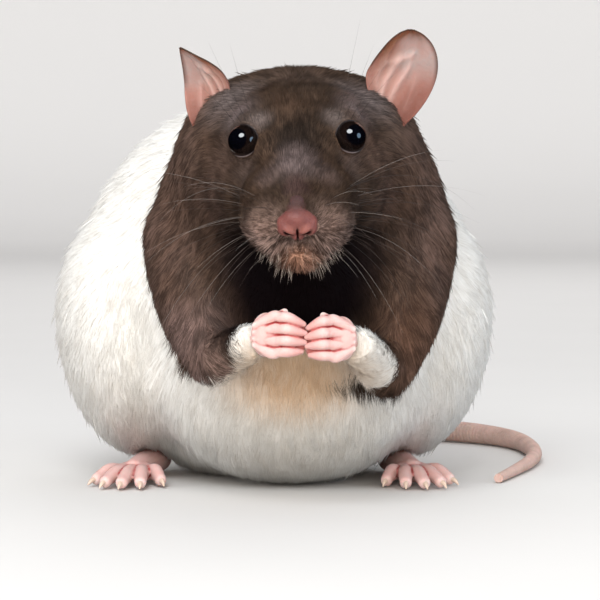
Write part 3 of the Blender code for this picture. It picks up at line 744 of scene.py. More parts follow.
def eye_material(name, centre, look):
    """A wet, all but black eye with a dark brown iris round the pupil."""
    paint = Paint(name, roughness=0.04, Specular_IOR_Level=1.0)
    place = paint.place()
    away = paint.away(place, centre + look * EYE_RADIUS * MM)
    streak = paint.noise(place, 0.35, 3.0)
    colour = paint.mix(away.rise(2.2, 2.6), (0.001, 0.001, 0.002), (0.006, 0.0035, 0.003))
    colour = paint.mix(away.rise(3.4, 4.4), colour, (0.002, 0.0015, 0.002))
    return paint.end(Base_Color=colour, Roughness=0.03 + 0.03 * streak)


def lid_material():
    """The thin bare edge of the eyelids, dark above, with a painted pale shine where the lower lid is wet."""
    paint = Paint("lid_skin", roughness=0.35)
    place = paint.place()
    colour = paint.mix(paint.noise(place, 0.9, 2.0), (0.010, 0.006, 0.006), (0.030, 0.019, 0.018))
    for centre in EYES.values():
        low = Vector(centre) + Vector((0, -1.5, -3.6)) * MM
        # a painted pale shine on the wet lower lid of each eye
        colour = paint.mix((1 - paint.away(place, low).rise(0.5, 2.8)) * 0.8, colour, (0.170, 0.135, 0.135))
    return paint.end(Base_Color=colour, Normal=paint.bump(paint.noise(place, 0.2), 0.05))


def claw_material():
    """Pale horn that darkens towards its root."""
    paint = Paint("claw_horn", roughness=0.3, Coat_Weight=0.3)
    place = paint.place()
    colour = paint.mix(paint.noise(place, 0.8, 2.0), (0.72, 0.60, 0.50), (0.52, 0.36, 0.28))
    return paint.end(Base_Color=colour, Normal=paint.bump(paint.noise(place, 0.15), 0.02))


def tail_material():
    """Scaly skin in rings, pinkish with greyer blotches and painted shade in the grooves between the rings.
    """
    colours = bpy.context.scene.rat_colours
    paint = Paint("tail_skin", roughness=0.55, Subsurface_Weight=0.15, Subsurface_Scale=0.001)
    place, ring = paint.place(), paint.attribute("ring")
    blotch = paint.noise(place, 5.0, 3.0)
    colour = paint.mix((blotch - 0.4).clamped() * 1.8, tuple(colours.tail), (0.37, 0.26, 0.22))
    # Painted shade in the grooves between the rings
    colour = paint.mix((1 - ring.rise(0.0, 0.5)) * 0.55, colour, (0.27, 0.155, 0.125))
    scales = paint.cells(place, 0.75)
    height = scales + 0.4 * paint.noise(place, 0.3)
    return paint.end(Base_Color=colour, Roughness=0.5 + 0.15 * blotch, Normal=paint.bump(height, 0.12))


def whisker_material(name, root, tip):
    """Stiff glossy hair that pales towards its tip."""
    paint = Paint(name, roughness=0.35)
    along = paint.attribute("along")
    colour = paint.mix(along.rise(0.1, 0.9), root, tip)
    return paint.end(Base_Color=colour, Roughness=0.3 + 0.15 * paint.noise(paint.place(), 1.0))


# The skin

# The voxel of the flesh's one skin, how far the flesh swells to bridge the gaps, and the lids' openings in
# degrees from the way the eye faces
SKIN_VOXEL = 1.04
BRIDGE = 0.22
LID_OPEN, LID_CORNER = 89.0, 5.0
LID_THICK = 0.22
MOUTH_REACH = math.radians(64)


def coat_fields(points):
    """For points of the skin, the length, width and lift of the tufts there."""
    head, body = in_head(points), in_body(points)
    from_nose = np.linalg.norm(head - NOSE_MIDDLE, axis=1)
    length = 1.3 + 1.3 * eased(4, 22, from_nose)
    length = length + 2.0 * eased(30, 56, from_nose) + 1.9 * eased(55, 95, from_nose)
    from_eye = np.min([np.linalg.norm(points - np.array(c), axis=1) for c in EYES.values()], axis=0) / MM
    length = length * (0.40 + 0.60 * eased(4.0, 9.0, from_eye))
    for name in SIDES:
        wrist, elbow, _ = arm_of(name)
        along, off = along_line(body, elbow, wrist)
        on_arm = 1 - eased(6.5, 10.0, off)
        length = length * (1 - on_arm) + (5.2 - 1.2 * along) * on_arm
    low = 1 - eased(0.5, 8.0, body[:, 2])
    length = length * (1 - 0.45 * low)
    lift = bpy.context.scene.rat_coat.lift * (1 + 0.45 * (1 - eased(6, 34, from_nose)))
    lips = eased(-2.0, -5.5, head[:, 2]) * eased(1.5, 3.5, np.abs(head[:, 0]))
    fringe = np.maximum(lips, eased(-8.0, -10.0, head[:, 2]))
    fringe = fringe * (1 - eased(13, 19, head[:, 1])) * (from_nose < 20)
    length = length + 1.9 * fringe
    lift = lift + 0.22 * fringe
    width = 0.050 + 0.024 * length
    return length, width, lift


def coat_depth(points):
    """How far the skin lies under the tips of the coat, in millimetres."""
    length, width, lift = coat_fields(points)
    return 0.85 * length * np.sin(lift) + 0.4 * width


def refine(bm, near):
    """Halves the faces round chosen places."""
    edges = {e for f in bm.faces if near(f.calc_center_median()) for e in f.edges}
    bmesh.ops.subdivide_edges(bm, edges=list(edges), cuts=1, use_grid_fill=True)
    return [v for v in bm.verts if near(v.co)]


def on_face(point):
    """Whether a point is on the face."""
    x, y, z = HEAD.inverted() @ point
    return y < 36 and abs(x) < 24 and -20 < z < 24


def near_features(point):
    """Whether a point is close to an eye, the nose or the mouth."""
    x, y, z = HEAD.inverted() @ point
    return from_eyes(point) < 7.0 or (y < 11 and abs(x) < 9 and z > -15)


def behind_muzzle(point):
    """Whether a point is in the dip between the muzzle and the cheeks, away from the eyes."""
    x, y, z = HEAD.inverted() @ point
    return 10.5 < y < 27 and abs(x) < 19 and -9 < z < 14 and from_eyes(point) >= 5.6


def shaped_lids(points, side_name):
    """Presses the skin behind an eyeball inside the opening and folds it into lids round that."""
    centre, look = np.array(EYES[side_name]), np.array(eye_look(SIDES[side_name]))
    out = points - centre
    away = np.linalg.norm(out, axis=1) / MM
    ray = unit(out)
    angle = np.degrees(np.arccos(np.clip(ray @ look, -1, 1)))
    corner = unit(np.array(HEAD_TURN @ Vector(mirrored(EYE_CORNER, SIDES[side_name]))))
    corner = unit(corner - look * (corner @ look))
    flat = unit(ray - (ray @ look)[:, None] * look)
    toward = flat @ corner
    opening = LID_OPEN - 5.0 + LID_CORNER * (2 * toward**2) - 3.0
    edge, ball = EYE_RADIUS + LID_THICK, EYE_RADIUS - 0.9
    inside = eased(opening - 6.0, opening, angle)
    natural = eased(opening + 1.0, opening + 26.0, angle)
    fold = 0.32 * np.exp(-(((angle - opening - 17.0) / 5.0) ** 2))
    lid = edge + (np.maximum(away, edge) - edge) * natural - fold
    target = ball + (lid - ball) * inside
    reach = 1 - eased(6.0, 7.5, away)
    chosen = (angle < 150) & (reach > 0)
    new = away + (target - away) * reach
    return np.where(chosen[:, None], centre + ray * new[:, None] * MM, points)


def shaped_mouth(points, normals):
    """Cuts the line of the mouth and the groove from it up to the nose."""
    x, y, z = in_head(points).T
    turn = np.arctan2(x, 12.0 - y)
    line = -8.0 - 1.8 * np.abs(np.sin(turn))
    ends = 1 - eased(MOUTH_REACH * 0.8, MOUTH_REACH, np.abs(turn))
    lips = np.exp(-(((z - line) / 0.45) ** 2)) * ends * (y < 12)
    groove = np.exp(-((x / 0.4) ** 2)) * eased(-8.8, -7.8, z) * (1 - eased(-3.6, -2.6, z)) * (y < 6)
    depth = 0.7 * lips + 0.6 * groove
    return points - normals * depth[:, None] * MM


def sunk_nose(points, normals):
    """Sinks the skin behind the nose pad, so the nostrils stay deep."""
    x, y, z = in_head(points).T
    away = np.sqrt((x / 4.2) ** 2 + ((y - 1.0) / 3.8) ** 2 + ((z + 0.8) / 3.4) ** 2)
    return points - normals * (1.5 * (1 - eased(0.75, 1.05, away)))[:, None] * MM


def build_skin():
    """One skin over the flesh, inside it by the depth of the coat, with lids and the line of the mouth."""
    bm = bmesh.new()
    for node in (*FLESH, "nose"):
        bm.from_mesh(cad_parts[node].data)
    bmesh.ops.remove_doubles(bm, verts=bm.verts, dist=1e-7)
    for centre in EYES.values():
        ball = bmesh.ops.create_uvsphere(bm, u_segments=32, v_segments=16, radius=(EYE_RADIUS + 0.2) * MM)
        bmesh.ops.translate(bm, vec=centre, verts=ball["verts"])
    mesh = bpy.data.meshes.new("skin")
    bm.to_mesh(mesh)
    bm.free()
    obj = new_object("skin", mesh)
    bridge = obj.modifiers.new("bridge", "DISPLACE")
    bridge.strength = BRIDGE * MM
    bridge.mid_level = 0.0
    whole = obj.modifiers.new("whole", "REMESH")
    whole.mode = "VOXEL"
    whole.voxel_size = SKIN_VOXEL * MM
    soften = obj.modifiers.new("soften", "SMOOTH")
    soften.factor = 0.5
    soften.iterations = 5
    baked(obj)
    bm = bmesh.new()
    bm.from_mesh(obj.data)
    for near, rounds in ((on_face, 2), (near_features, 2), (behind_muzzle, 24)):
        fine = [v for v in bm.verts if near(v.co)] if near is behind_muzzle else refine(bm, near)
        every_way = {"use_axis_x": True, "use_axis_y": True, "use_axis_z": True}
        for _ in range(rounds):
            bmesh.ops.smooth_vert(bm, verts=fine, factor=0.5, **every_way)
    bmesh.ops.triangulate(bm, faces=bm.faces)
    bm.to_mesh(obj.data)
    bm.free()
    points, _, normals = arrays_of(obj.data)
    points = points - normals * (coat_depth(points) + BRIDGE)[:, None] * MM
    points = sunk_nose(shaped_mouth(points, normals), normals)
    for name in SIDES:
        points = shaped_lids(points, name)
    points[:, 2] = np.maximum(points[:, 2], 0.0)
    set_points(obj.data, points)
    return finished(obj, skin_material(), "white_coat", *FLESH)


# The coat

# Shares of the tufts that lead a lock, give a streak its tone or stick out, how deep roots sink, the side
# of a tuft's patch on the map, and the most tufts in a piece
BODY_FLOW = np.array((0.0, 0.55, -1.0))
CLUMP_SHARE, STREAK_SHARE, STRAY_SHARE = 0.04, 0.16, 0.03
TUFT_SINK = 0.25
PATCH = 0.003
PIECE_TUFTS = 48000
TUFT_TRIANGLES = np.array([(0, 2, 1), (0, 1, 3), (1, 2, 3), (2, 0, 3)])
TUFT_PATCH = np.array([(-1, -1), (1, -1), (0, -1), (0, 1)]) * 0.5 * PATCH


def bare_places(points):
    """Where no tuft grows: the open eye and its lids' edge, the nose, and the flat under the body."""
    x, y, z = in_head(points).T
    bare = ((x / 4.0) ** 2 + ((y - 1.0) / 3.5) ** 2 + ((z + 0.8) / 3.4) ** 2) < 1
    bare |= ((x / 1.9) ** 2 + ((y - 4.4) / 2.8) ** 2 + ((z - 2.2) / 2.0) ** 2) < 1
    for name, side in SIDES.items():
        out = points - np.array(EYES[name])
        away = np.linalg.norm(out, axis=1) / MM
        angle = np.degrees(np.arccos(np.clip(unit(out) @ np.array(eye_look(side)), -1, 1)))
        bare |= (away < EYE_RADIUS + 1.5) & (angle < LID_OPEN + 3)
    return bare | (in_body(points)[:, 2] < 0.35)


def flow_of(points):
    """The way the coat lies: out from the nose over the head, and down and back over the body."""
    head, body = in_head(points), in_body(points)
    from_nose = np.linalg.norm(head - NOSE_MIDDLE, axis=1)
    out = unit((head - (0, 0, -1)) @ np.array(HEAD_TURN).T)
    share = eased(24, 50, from_nose)[:, None]
    flow = unit(out * (1 - share) + unit(BODY_FLOW) * share)
    for name in SIDES:
        wrist, elbow, _ = arm_of(name)
        along, off = along_line(body, elbow, wrist)
        on_arm = ((1 - eased(6.0, 9.5, off)) * eased(0.05, 0.35, along))[:, None]
        flow = unit(flow * (1 - on_arm) + (unit(wrist - elbow) * 0.8 + np.array((0, 0, -0.45))) * on_arm)
    return flow


def wave(points, size, seed):
    """Smooth waves of a size in millimetres, between about -1 and 1, for each point."""
    rng = np.random.default_rng(seed)
    total = np.zeros(len(points))
    for _ in range(5):
        way, phase = unit(rng.normal(size=3)), rng.uniform(0, 2 * math.pi)
        total += np.sin(points @ way * (2 * math.pi / (size * MM) * rng.uniform(0.7, 1.4)) + phase)
    return total / 2.6


def sample_roots(points, triangles, normals, count, rng):
    """Root places and normals, spread over the skin more densely where tufts are small."""
    corners = points[triangles]
    across = np.cross(corners[:, 1] - corners[:, 0], corners[:, 2] - corners[:, 0])
    areas = 0.5 * np.linalg.norm(across, axis=1)
    centres = corners.mean(1)
    length, width, _ = coat_fields(centres)
    weight = areas / (length * width) * ~bare_places(centres)
    weight *= 0.35 + 0.65 * eased(1.0, 6.0, in_body(centres)[:, 2])
    total = np.cumsum(weight)
    picks = (np.arange(count) + rng.uniform(0, 1, count)) / count * total[-1]
    chosen = np.minimum(np.searchsorted(total, picks), len(total) - 1)
    a, b = rng.uniform(0, 1, (2, count))
    flip = a + b > 1
    a, b = np.where(flip, 1 - a, a), np.where(flip, 1 - b, b)
    shares = np.stack([1 - a - b, a, b], 1)[:, :, None]
    roots = (points[triangles[chosen]] * shares).sum(1)
    facing = unit((normals[triangles[chosen]] * shares).sum(1))
    return roots, facing


def on_skin(tree, places):
    """The nearest places on the skin, and its normals there."""
    found = [tree.find_nearest(p) for p in places.tolist()]
    return np.array([f[0] for f in found]), np.array([f[1] for f in found])


def nearest_chosen(roots, share, rng):
    """For each root, the nearest of a share of them that is chosen at random."""
    chosen = np.flatnonzero(rng.uniform(0, 1, len(roots)) < share)
    tree = KDTree(len(chosen))
    for k in chosen:
        tree.insert(roots[k], int(k))
    tree.balance()
    return np.array([tree.find(p)[1] for p in roots.tolist()])


def along_skin(ways, normals):
    """Ways turned to lie flat on the skin."""
    return unit(ways - (ways * normals).sum(1, keepdims=True) * normals)


def regions_of(points):
    """Names the coat's piece that each root belongs to, and unwraps the skin there round that piece."""
    head, body = in_head(points), in_body(points)
    region = np.where(body[:, 1] < 50, "chest", "flank")
    on_head = (head[:, 1] < 44) & (head[:, 2] > -19) & (np.abs(head[:, 0]) < 34)
    region = np.where(on_head, np.where(head[:, 1] < 25, "face", "crown"), region)
    turn = np.where(on_head, np.arctan2(head[:, 0], head[:, 2]), np.arctan2(body[:, 0], body[:, 1] - 42))
    rise = np.where(on_head, head[:, 1], body[:, 2])
    behind = region == "flank"
    turn = np.where(behind, np.arctan2(body[:, 0] - REAR_X, body[:, 1] - 78), turn)
    for name in SIDES:
        wrist, elbow, shoulder = arm_of(name)
        near = np.minimum(along_line(body, elbow, wrist)[1], along_line(body, shoulder, elbow)[1])
        arm = (near < 10) & ~on_head & (body[:, 2] < 50)
        region = np.where(arm, f"arm_{name}", region)
        turn = np.where(arm, np.arctan2(body[:, 0] - elbow[0], body[:, 1] - elbow[1]), turn)
    return region, turn, rise


def tuft_mesh(name, spots, attributes, places):
    """A mesh of tufts from their points, four for each, with a patch of the map OFBake for each tuft."""
    count = len(spots)
    mesh = bpy.data.meshes.new(name)
    triangles = (TUFT_TRIANGLES[None] + 4 * np.arange(count)[:, None, None]).reshape(-1, 3)
    mesh.vertices.add(count * 4)
    mesh.vertices.foreach_set("co", spots.astype(np.float32).ravel())
    mesh.loops.add(len(triangles) * 3)
    mesh.loops.foreach_set("vertex_index", triangles.astype(np.int32).ravel())
    mesh.polygons.add(len(triangles))
    mesh.polygons.foreach_set("loop_start", np.arange(0, len(triangles) * 3, 3, dtype=np.int32))
    mesh.update(calc_edges=True)
    for key, values in attributes.items():
        set_attribute(mesh, key, values)
    unwrap = (places[:, None, :] + TUFT_PATCH[None]).reshape(-1, 2)
    layer = mesh.uv_layers.new(name="OFBake")
    layer.data.foreach_set("uv", unwrap[triangles.ravel()].astype(np.float32).ravel())
    mesh.validate()
    return mesh


def build_coat():
    """All the tufts of the coat, in pieces by region, each under the limit of triangles."""
    facts = bpy.context.scene.rat_coat
    rng = np.random.default_rng(facts.seed)
    points, triangles, normals = arrays_of(bpy.data.objects["skin"].data)
    tree = BVHTree.FromPolygons(points.tolist(), triangles.tolist())
    count = facts.tufts
    roots, facing = sample_roots(points, triangles, normals, count, rng)
    length, width, lift = coat_fields(roots)
    stray = rng.uniform(0, 1, count) < STRAY_SHARE
    length = length * rng.uniform(0.72, 1.22, count) * np.where(stray, 1.15, 1.0)
    width = width * rng.uniform(0.75, 1.25, count) * np.where(stray, 0.5, 1.0)
    lift = lift * rng.uniform(0.7, 1.2, count) * np.where(stray, 1.4, 1.0)

    way = along_skin(flow_of(roots), facing)
    aside = np.cross(facing, way)
    turn = 0.20 * wave(roots, 9.0, 1) + 0.16 * wave(roots, 4.0, 2) + rng.normal(0, 0.12, count)
    way = way * np.cos(turn)[:, None] + aside * np.sin(turn)[:, None]
    far = length * MM
    tip, tip_facing = on_skin(tree, roots + way * (far * np.cos(lift))[:, None])
    tip = tip + tip_facing * (far * np.sin(lift))[:, None]

    leader = nearest_chosen(roots, CLUMP_SHARE, rng)
    pull = facts.clump * rng.uniform(0.3, 1.3, count) * ~stray
    close = np.linalg.norm(roots - roots[leader], axis=1) < far * 0.6
    tip = tip + (tip[leader] - tip) * (pull * close)[:, None]
    tip[:, 2] = np.maximum(tip[:, 2], 0.0001)

    span = width * MM * 0.5
    sunk = roots - facing * TUFT_SINK * MM
    aside = unit(np.cross(facing, way)) * span[:, None]
    back = sunk + facing * (0.25 * far * np.sin(lift) + span)[:, None]
    spots = np.stack([sunk - aside, sunk + aside, back, tip], 1)
    spots[:, :, 2] = np.maximum(spots[:, :, 2], 0.0)
    mark = roots * 0.35 + tip * 0.65
    lock = rng.normal(0, 0.22, count)[nearest_chosen(roots, STREAK_SHARE, rng)]
    tone = np.clip(0.5 + 0.14 * wave(roots, 5.0, 3) + lock + rng.normal(0, 0.14, count), 0, 1)
    sides = np.cross(facing, way) * 0.75
    leaning = np.stack([facing - sides, facing + sides, facing, tip_facing + way * 0.25], 1)
    region, angle, height = regions_of(roots)
    material = coat_material()
    stand = np.array([0, 0, 0, 1.0])
    for name in sorted(set(region)):
        mine = np.flatnonzero(region == name)
        mine = mine[np.argsort(angle[mine])]
        shares = np.array_split(mine, math.ceil(len(mine) / PIECE_TUFTS))
        for k, share in enumerate(shares):
            title = f"coat_{name}_{k + 1}" if len(shares) > 1 else f"coat_{name}"
            flat = np.stack([angle[share], height[share]], 1)
            low, high = flat.min(0), flat.max(0)
            places = 0.01 + 0.98 * (flat - low) / (high - low)
            kept = {
                "mark": np.repeat(mark[share], 4, axis=0),
                "tone": np.repeat(tone[share], 4),
                "along": np.tile(stand, len(share)),
            }
            mesh = tuft_mesh(title, spots[share], kept, places)
            slot = "white_coat" if name == "flank" else "hood"
            finished(new_object(title, mesh), material, slot)
            mesh.normals_split_custom_set_from_vertices(unit(leaning[share]).reshape(-1, 3))


# Nose, eyes and ears


def build_nose():
    """The bare nose pad with winged nostrils and the cleft between them."""
    pieces = [
        blob((0, 1.7, 0.1), (3.8, 2.7, 2.9), frame_of=HEAD),
        blob((0, 4.2, 1.5), (3.0, 3.4, 2.5), frame_of=HEAD),
        blob((0, 5.2, 2.6), (2.2, 3.0, 2.1), frame_of=HEAD),
        blob((0, 1.4, -2.5), (1.6, 1.7, 1.5), frame_of=HEAD),
    ]
    for side in SIDES.values():
        pieces.append(blob((2.0 * side, 0.9, -0.9), (2.25, 2.0, 1.95), frame_of=HEAD))
        pieces.append(blob((2.9 * side, 1.5, 0.1), (1.4, 1.7, 1.5), frame_of=HEAD))
    obj = fused("nose_pad", pieces, 0.18, 16)
    points, _, normals = arrays_of(obj.data)
    x, y, z = in_head(points).T
    cleft = np.exp(-((x / 0.26) ** 2)) * (1 - eased(-1.6, 0.4, z)) * (y < 2.5)
    # dark holds the painted shade of the cleft and the nostrils
    depth, dark = 0.5 * cleft, 0.9 * cleft
    for side in SIDES.values():
        along, over = (x - 2.1 * side) * side, z + 2.05
        turn = math.radians(-30)
        a, b = along * math.cos(turn) - over * math.sin(turn), along * math.sin(turn) + over * math.cos(turn)
        comma = np.exp(-((a / 1.15) ** 2) - (((b - 0.18 * a * a) / 0.52) ** 2)) * (y < 1.8)
        depth = depth + 1.15 * comma
        depth = depth - 0.25 * np.exp(-((a / 1.5) ** 2) - (((b - 1.0) / 0.5) ** 2)) * (y < 1.2)
        dark = np.maximum(dark, comma)
    set_points(obj.data, points - normals * depth[:, None] * MM)
    set_attribute(obj.data, "nostril", np.clip(dark, 0, 1))
    return finished(obj, nose_material(), "bare_skin", "nose")


def build_eyes():
    """Glossy eyeballs, a little raised over the pupil, each with the bare edge of its lids."""
    made_lid = lid_material()
    for name, side in SIDES.items():
        centre, look = EYES[name], eye_look(side)
        bm = bmesh.new()
        bmesh.ops.create_uvsphere(bm, u_segments=64, v_segments=40, radius=EYE_RADIUS * MM)
        turn = look.to_track_quat("Z", "Y").to_matrix().to_4x4()
        for vert in bm.verts:
            front = max(0.0, vert.co.z / (EYE_RADIUS * MM))
            vert.co.z += 0.18 * MM * front**4
        bmesh.ops.transform(bm, matrix=Matrix.Translation(centre) @ turn, verts=bm.verts)
        eye = from_bmesh(f"eyeball_{name}", bm)
        finished(eye, eye_material(f"eye_{name}_wet", centre, look), "eye", f"eye_{name}")
        corner = HEAD_TURN @ Vector(mirrored(EYE_CORNER, side))
        corner = (corner - look * corner.dot(look)).normalized()
        other = look.cross(corner)
        bm = bmesh.new()
        hoops = []
        for k in range(72):
            a = 2 * math.pi * k / 72
            out = corner * math.cos(a) + other * math.sin(a)
            opening = math.radians(LID_OPEN - 9.5 + LID_CORNER * 2 * math.cos(a) ** 2)
            way = look * math.cos(opening) + out * math.sin(opening)
            spot = centre + way * (EYE_RADIUS + 0.06) * MM
            ahead = look * math.sin(opening) - out * math.cos(opening)
            hoop = []
            for j in range(8):
                b = 2 * math.pi * j / 8
                hoop.append(bm.verts.new(spot + (way * math.cos(b) + ahead * math.sin(b)) * 0.16 * MM))
            hoops.append(hoop)
        quads_between(bm, [*hoops, hoops[0]])
        finished(from_bmesh(f"lids_{name}", bm), made_lid, "hood")


# The ears from root to tip in the body's frame: the edge towards the crown, the outer edge, the cup's depth
EAR_ROWS = {
    "left": (
        ((-18.0, 23.0, 78.5), (-21.5, 23.0, 78.0), 1.6),
        ((-17.4, 22.6, 82.0), (-22.4, 20.4, 81.0), 2.2),
        ((-16.5, 21.6, 85.6), (-23.9, 18.8, 83.8), 2.6),
        ((-15.8, 20.8, 89.0), (-25.0, 19.6, 86.8), 2.8),
        ((-16.0, 18.6, 92.4), (-25.5, 20.8, 90.0), 2.8),
        ((-17.5, 16.4, 95.1), (-25.6, 21.4, 92.9), 2.5),
        ((-19.9, 15.4, 97.0), (-25.9, 21.2, 95.8), 2.0),
        ((-22.8, 16.0, 98.5), (-26.3, 20.4, 98.2), 1.3),
        ((-25.2, 17.6, 99.8), (-26.6, 19.4, 99.7), 0.5),
        ((-26.4, 18.6, 100.4), (-26.7, 18.9, 100.4), 0.1),
    ),
    "right": (
        ((17.6, 20.0, 78.5), (20.8, 20.5, 78.0), 1.4),
        ((17.2, 19.8, 82.4), (21.6, 19.5, 80.8), 1.6),
        ((16.4, 19.4, 86.6), (23.2, 17.4, 83.6), 1.9),
        ((15.2, 19.0, 90.6), (25.8, 17.0, 86.3), 2.4),
        ((14.7, 16.8, 94.2), (28.4, 17.3, 90.0), 2.8),
        ((15.8, 14.8, 96.7), (30.0, 17.6, 94.0), 2.9),
        ((17.5, 13.4, 99.2), (30.2, 17.5, 97.8), 2.6),
        ((19.6, 13.0, 101.7), (29.2, 16.9, 100.8), 2.0),
        ((21.7, 13.4, 103.4), (27.4, 16.0, 102.9), 1.2),
        ((23.6, 14.0, 104.2), (25.3, 14.8, 104.1), 0.4),
    ),
}
EAR_BACK = {"left": (0.68, 0.73, 0.0), "right": (-0.30, 0.95, 0.0)}
# Ridges inside an ear: height, then middle, slope, width, and where each starts and ends up the ear
EAR_RIDGES = (
    (0.75, -0.30, 0.5, 0.13, 0.22, 0.72),
    (0.60, 0.12, 0.9, 0.12, 0.25, 0.68),
    (0.45, -0.62, -0.3, 0.10, 0.30, 0.85),
    (0.30, 0.52, -0.4, 0.09, 0.25, 0.60),
)


def ridge(across, up, middle, slope, width, low, high):
    """A rounded ridge that runs up an ear and leans across it."""
    on = eased(low, low + 0.12, up) * (1 - eased(high - 0.12, high, up))
    return on * np.exp(-(((across - middle - slope * (up - 0.5)) / width) ** 2))


def build_ear(name, columns=46, steps=7):
    """A thin cupped ear between its two edges, with folds inside and a root sunk into the fur."""
    rows = smooth_run([(*near, *far, cup) for near, far, cup in EAR_ROWS[name]], steps)
    run = np.array([tuple(row) for row in rows])
    u, t = np.linspace(-1, 1, columns + 1)[None, :], np.linspace(0, 1, len(run))[:, None]
    near, far = run[:, None, 0:3], run[:, None, 3:6]
    back = np.array(Vector(EAR_BACK[name]).normalized())
    bow = run[:, 6:7] * (1 - np.abs(u) ** 2.4) + 0.10 * np.sin(9 * t + 4 * u) + 0.08 * np.sin(15 * u - 7 * t)
    sheet = near + (far - near) * ((u + 1) / 2)[:, :, None] + back * bow[:, :, None]
    out = unit(np.cross(np.gradient(sheet, axis=1), np.gradient(sheet, axis=0)))
    out = -out * np.sign((out @ back).sum())
    folds = sum(height * ridge(u, t, *facts) for height, *facts in EAR_RIDGES)
    arc = 0.5 * np.exp(-(((t - 0.66 - 0.10 * u) / 0.035) ** 2)) * (1 - eased(0.35, 0.6, np.abs(u + 0.15)))
    folds = folds + arc
    half = np.linalg.norm(far - near, axis=2) / 2
    edge = np.clip((1 - np.abs(u)) * half / 1.2, 0, 1)
    thick = (0.95 - 0.55 * np.clip(t * 1.5, 0, 1)) * (0.5 + 0.5 * edge)
    front = sheet + out * (folds * edge)[:, :, None]
    rear = sheet - out * thick[:, :, None]
    from_edge = np.minimum((1 - np.abs(u)) * half, (1 - t) * 22)
    rim = np.clip(1 - from_edge / 0.65, 0, 1) * eased(0.42, 0.62, t)
    shell = np.concatenate([front, rear[:, ::-1]], axis=1)
    whole = np.ones_like(half * u)
    kept = {
        "across": ((u + 1) / 2 * whole, None),
        "up": (t * whole, None),
        "fold": (np.clip(folds * 1.3, 0, 1) * whole, None),
        "inside": (whole, whole * 0),
        "rim": (rim * whole, None),
    }
    count = shell.shape[1]
    bm = bmesh.new()
    places = (shell.reshape(-1, 3) * MM + np.array(BODY_AT)).tolist()
    verts = [bm.verts.new(p) for p in places]
    grid = [verts[k * count : (k + 1) * count] for k in range(len(run))]
    quads_between(bm, grid)
    for row, flip in ((grid[0], True), (grid[-1], False)):
        for j in range(columns):
            quad = (row[j], row[j + 1], row[count - 2 - j], row[count - 1 - j])
            bm.faces.new(quad[::-1] if flip else quad)
    obj = from_bmesh(f"ear_cup_{name}", bm)
    for key, (front_values, rear_values) in kept.items():
        rear_values = front_values if rear_values is None else rear_values
        set_attribute(obj.data, key, np.concatenate([front_values, rear_values[:, ::-1]], axis=1).ravel())
    return obj


def build_ears():
    """Both ears."""
    material = ear_material()
    for name in SIDES:
        finished(build_ear(name), material, "ear_skin", f"ear_{name}")


# Hands and feet

# A finger's thickness and how it tapers, the step from one to the next, how far each bends short of the
# longest, and how far across the tips reach
FINGER_RADIUS, FINGER_STEP = 1.25, 2.7
FINGER_TAPER = (0.80, 1.0, 0.88, 0.97, 0.80, 0.52)
FINGER_SHORT = (0.3, 0.0, 0.1, 0.8)
FINGERTIP = {"left": -1.2, "right": 1.3}


def finger_path(name, k):
    """Six points from root to tip along a bent finger, counted from the top."""
    palm = Vector(WRIST[name]) + TO_PALM
    tip_x = FINGERTIP[name]
    up = FINGER_STEP * (1.5 - k)
    short = FINGER_SHORT[k]
    root = palm + Vector((3.0, -0.5, up * 0.50))
    knuckle = palm + Vector((-0.9 + short, -1.55, up * 0.96 + 0.15))
    joint = Vector((palm.x * 0.50 + tip_x * 0.50, palm.y - 3.3 + short, palm.z + up * 0.90 + 0.25))
    tip = Vector((tip_x + 0.15 + short, palm.y - 2.8 + short, palm.z + up * 0.72 - 0.45))
    return root, knuckle, knuckle.lerp(joint, 0.5), joint, joint.lerp(tip, 0.55) + Vector((0, -0.15, 0)), tip


def build_hands():
    """Two hands held together, with bent fingers, the small thumb and their claws."""
    colours = bpy.context.scene.rat_colours
    material = bare_material("hand_skin", tuple(colours.pink), tuple(colours.crease), 0.5)
    claws = []
    for name, side in SIDES.items():
        wrist, elbow = Vector(WRIST[name]), Vector(ELBOW[name])
        palm = wrist + TO_PALM
        inner = wrist.lerp(elbow, 0.15)
        pieces = [
            tube([mirrored(p, side) for p in (inner, palm)], (1.3, 2.0)),
            blob(mirrored(palm + Vector((0.9, 0.4, 0)), side), (3.3, 2.6, 4.8)),
            blob(mirrored(palm + Vector((-0.6, 0.3, 0)), side), (4.4, 2.6, 4.8)),
            blob(mirrored((FINGERTIP[name] + 2.0, palm.y - 0.9, palm.z - 0.3), side), (2.7, 1.6, 3.9)),
        ]
        for k in range(len(FINGER_SHORT)):
            path = finger_path(name, k)
            radii = [FINGER_RADIUS * share for share in FINGER_TAPER]
            pieces.append(tube([mirrored(p, side) for p in path], radii, sides=20, steps=8))
            claw = path[-1] + Vector((-0.35, 1.3, -0.8))
            claws.append(tube([mirrored(p, side) for p in (path[-1], claw)], (0.30, 0.12), sides=10))
        thumb = [palm + Vector((-1.6, -0.2, 4.0)), palm + Vector((-3.0, -1.2, 5.0))]
        pieces.append(tube([mirrored(p, side) for p in thumb], (1.05, 0.8)))
        obj = fused(f"bare_hand_{name}", pieces, 0.17, 4)
        set_hollows(obj, 0.24, 7)
        finished(obj, material, "bare_skin", f"hand_{name}")
    finished(joined("finger_claws", claws), claw_material(), "bare_skin")


# The toes of a foot: the turn of each in degrees, and its length
FOOT_LENGTH, HEEL_OUT, HEEL_BACK, FOOT_SPLAY = 41.0, 28.0, 79.0, math.radians(10)
TOES = ((-26, 9.5), (-11, 14.0), (0, 15.0), (11, 14.0), (27, 9.0))


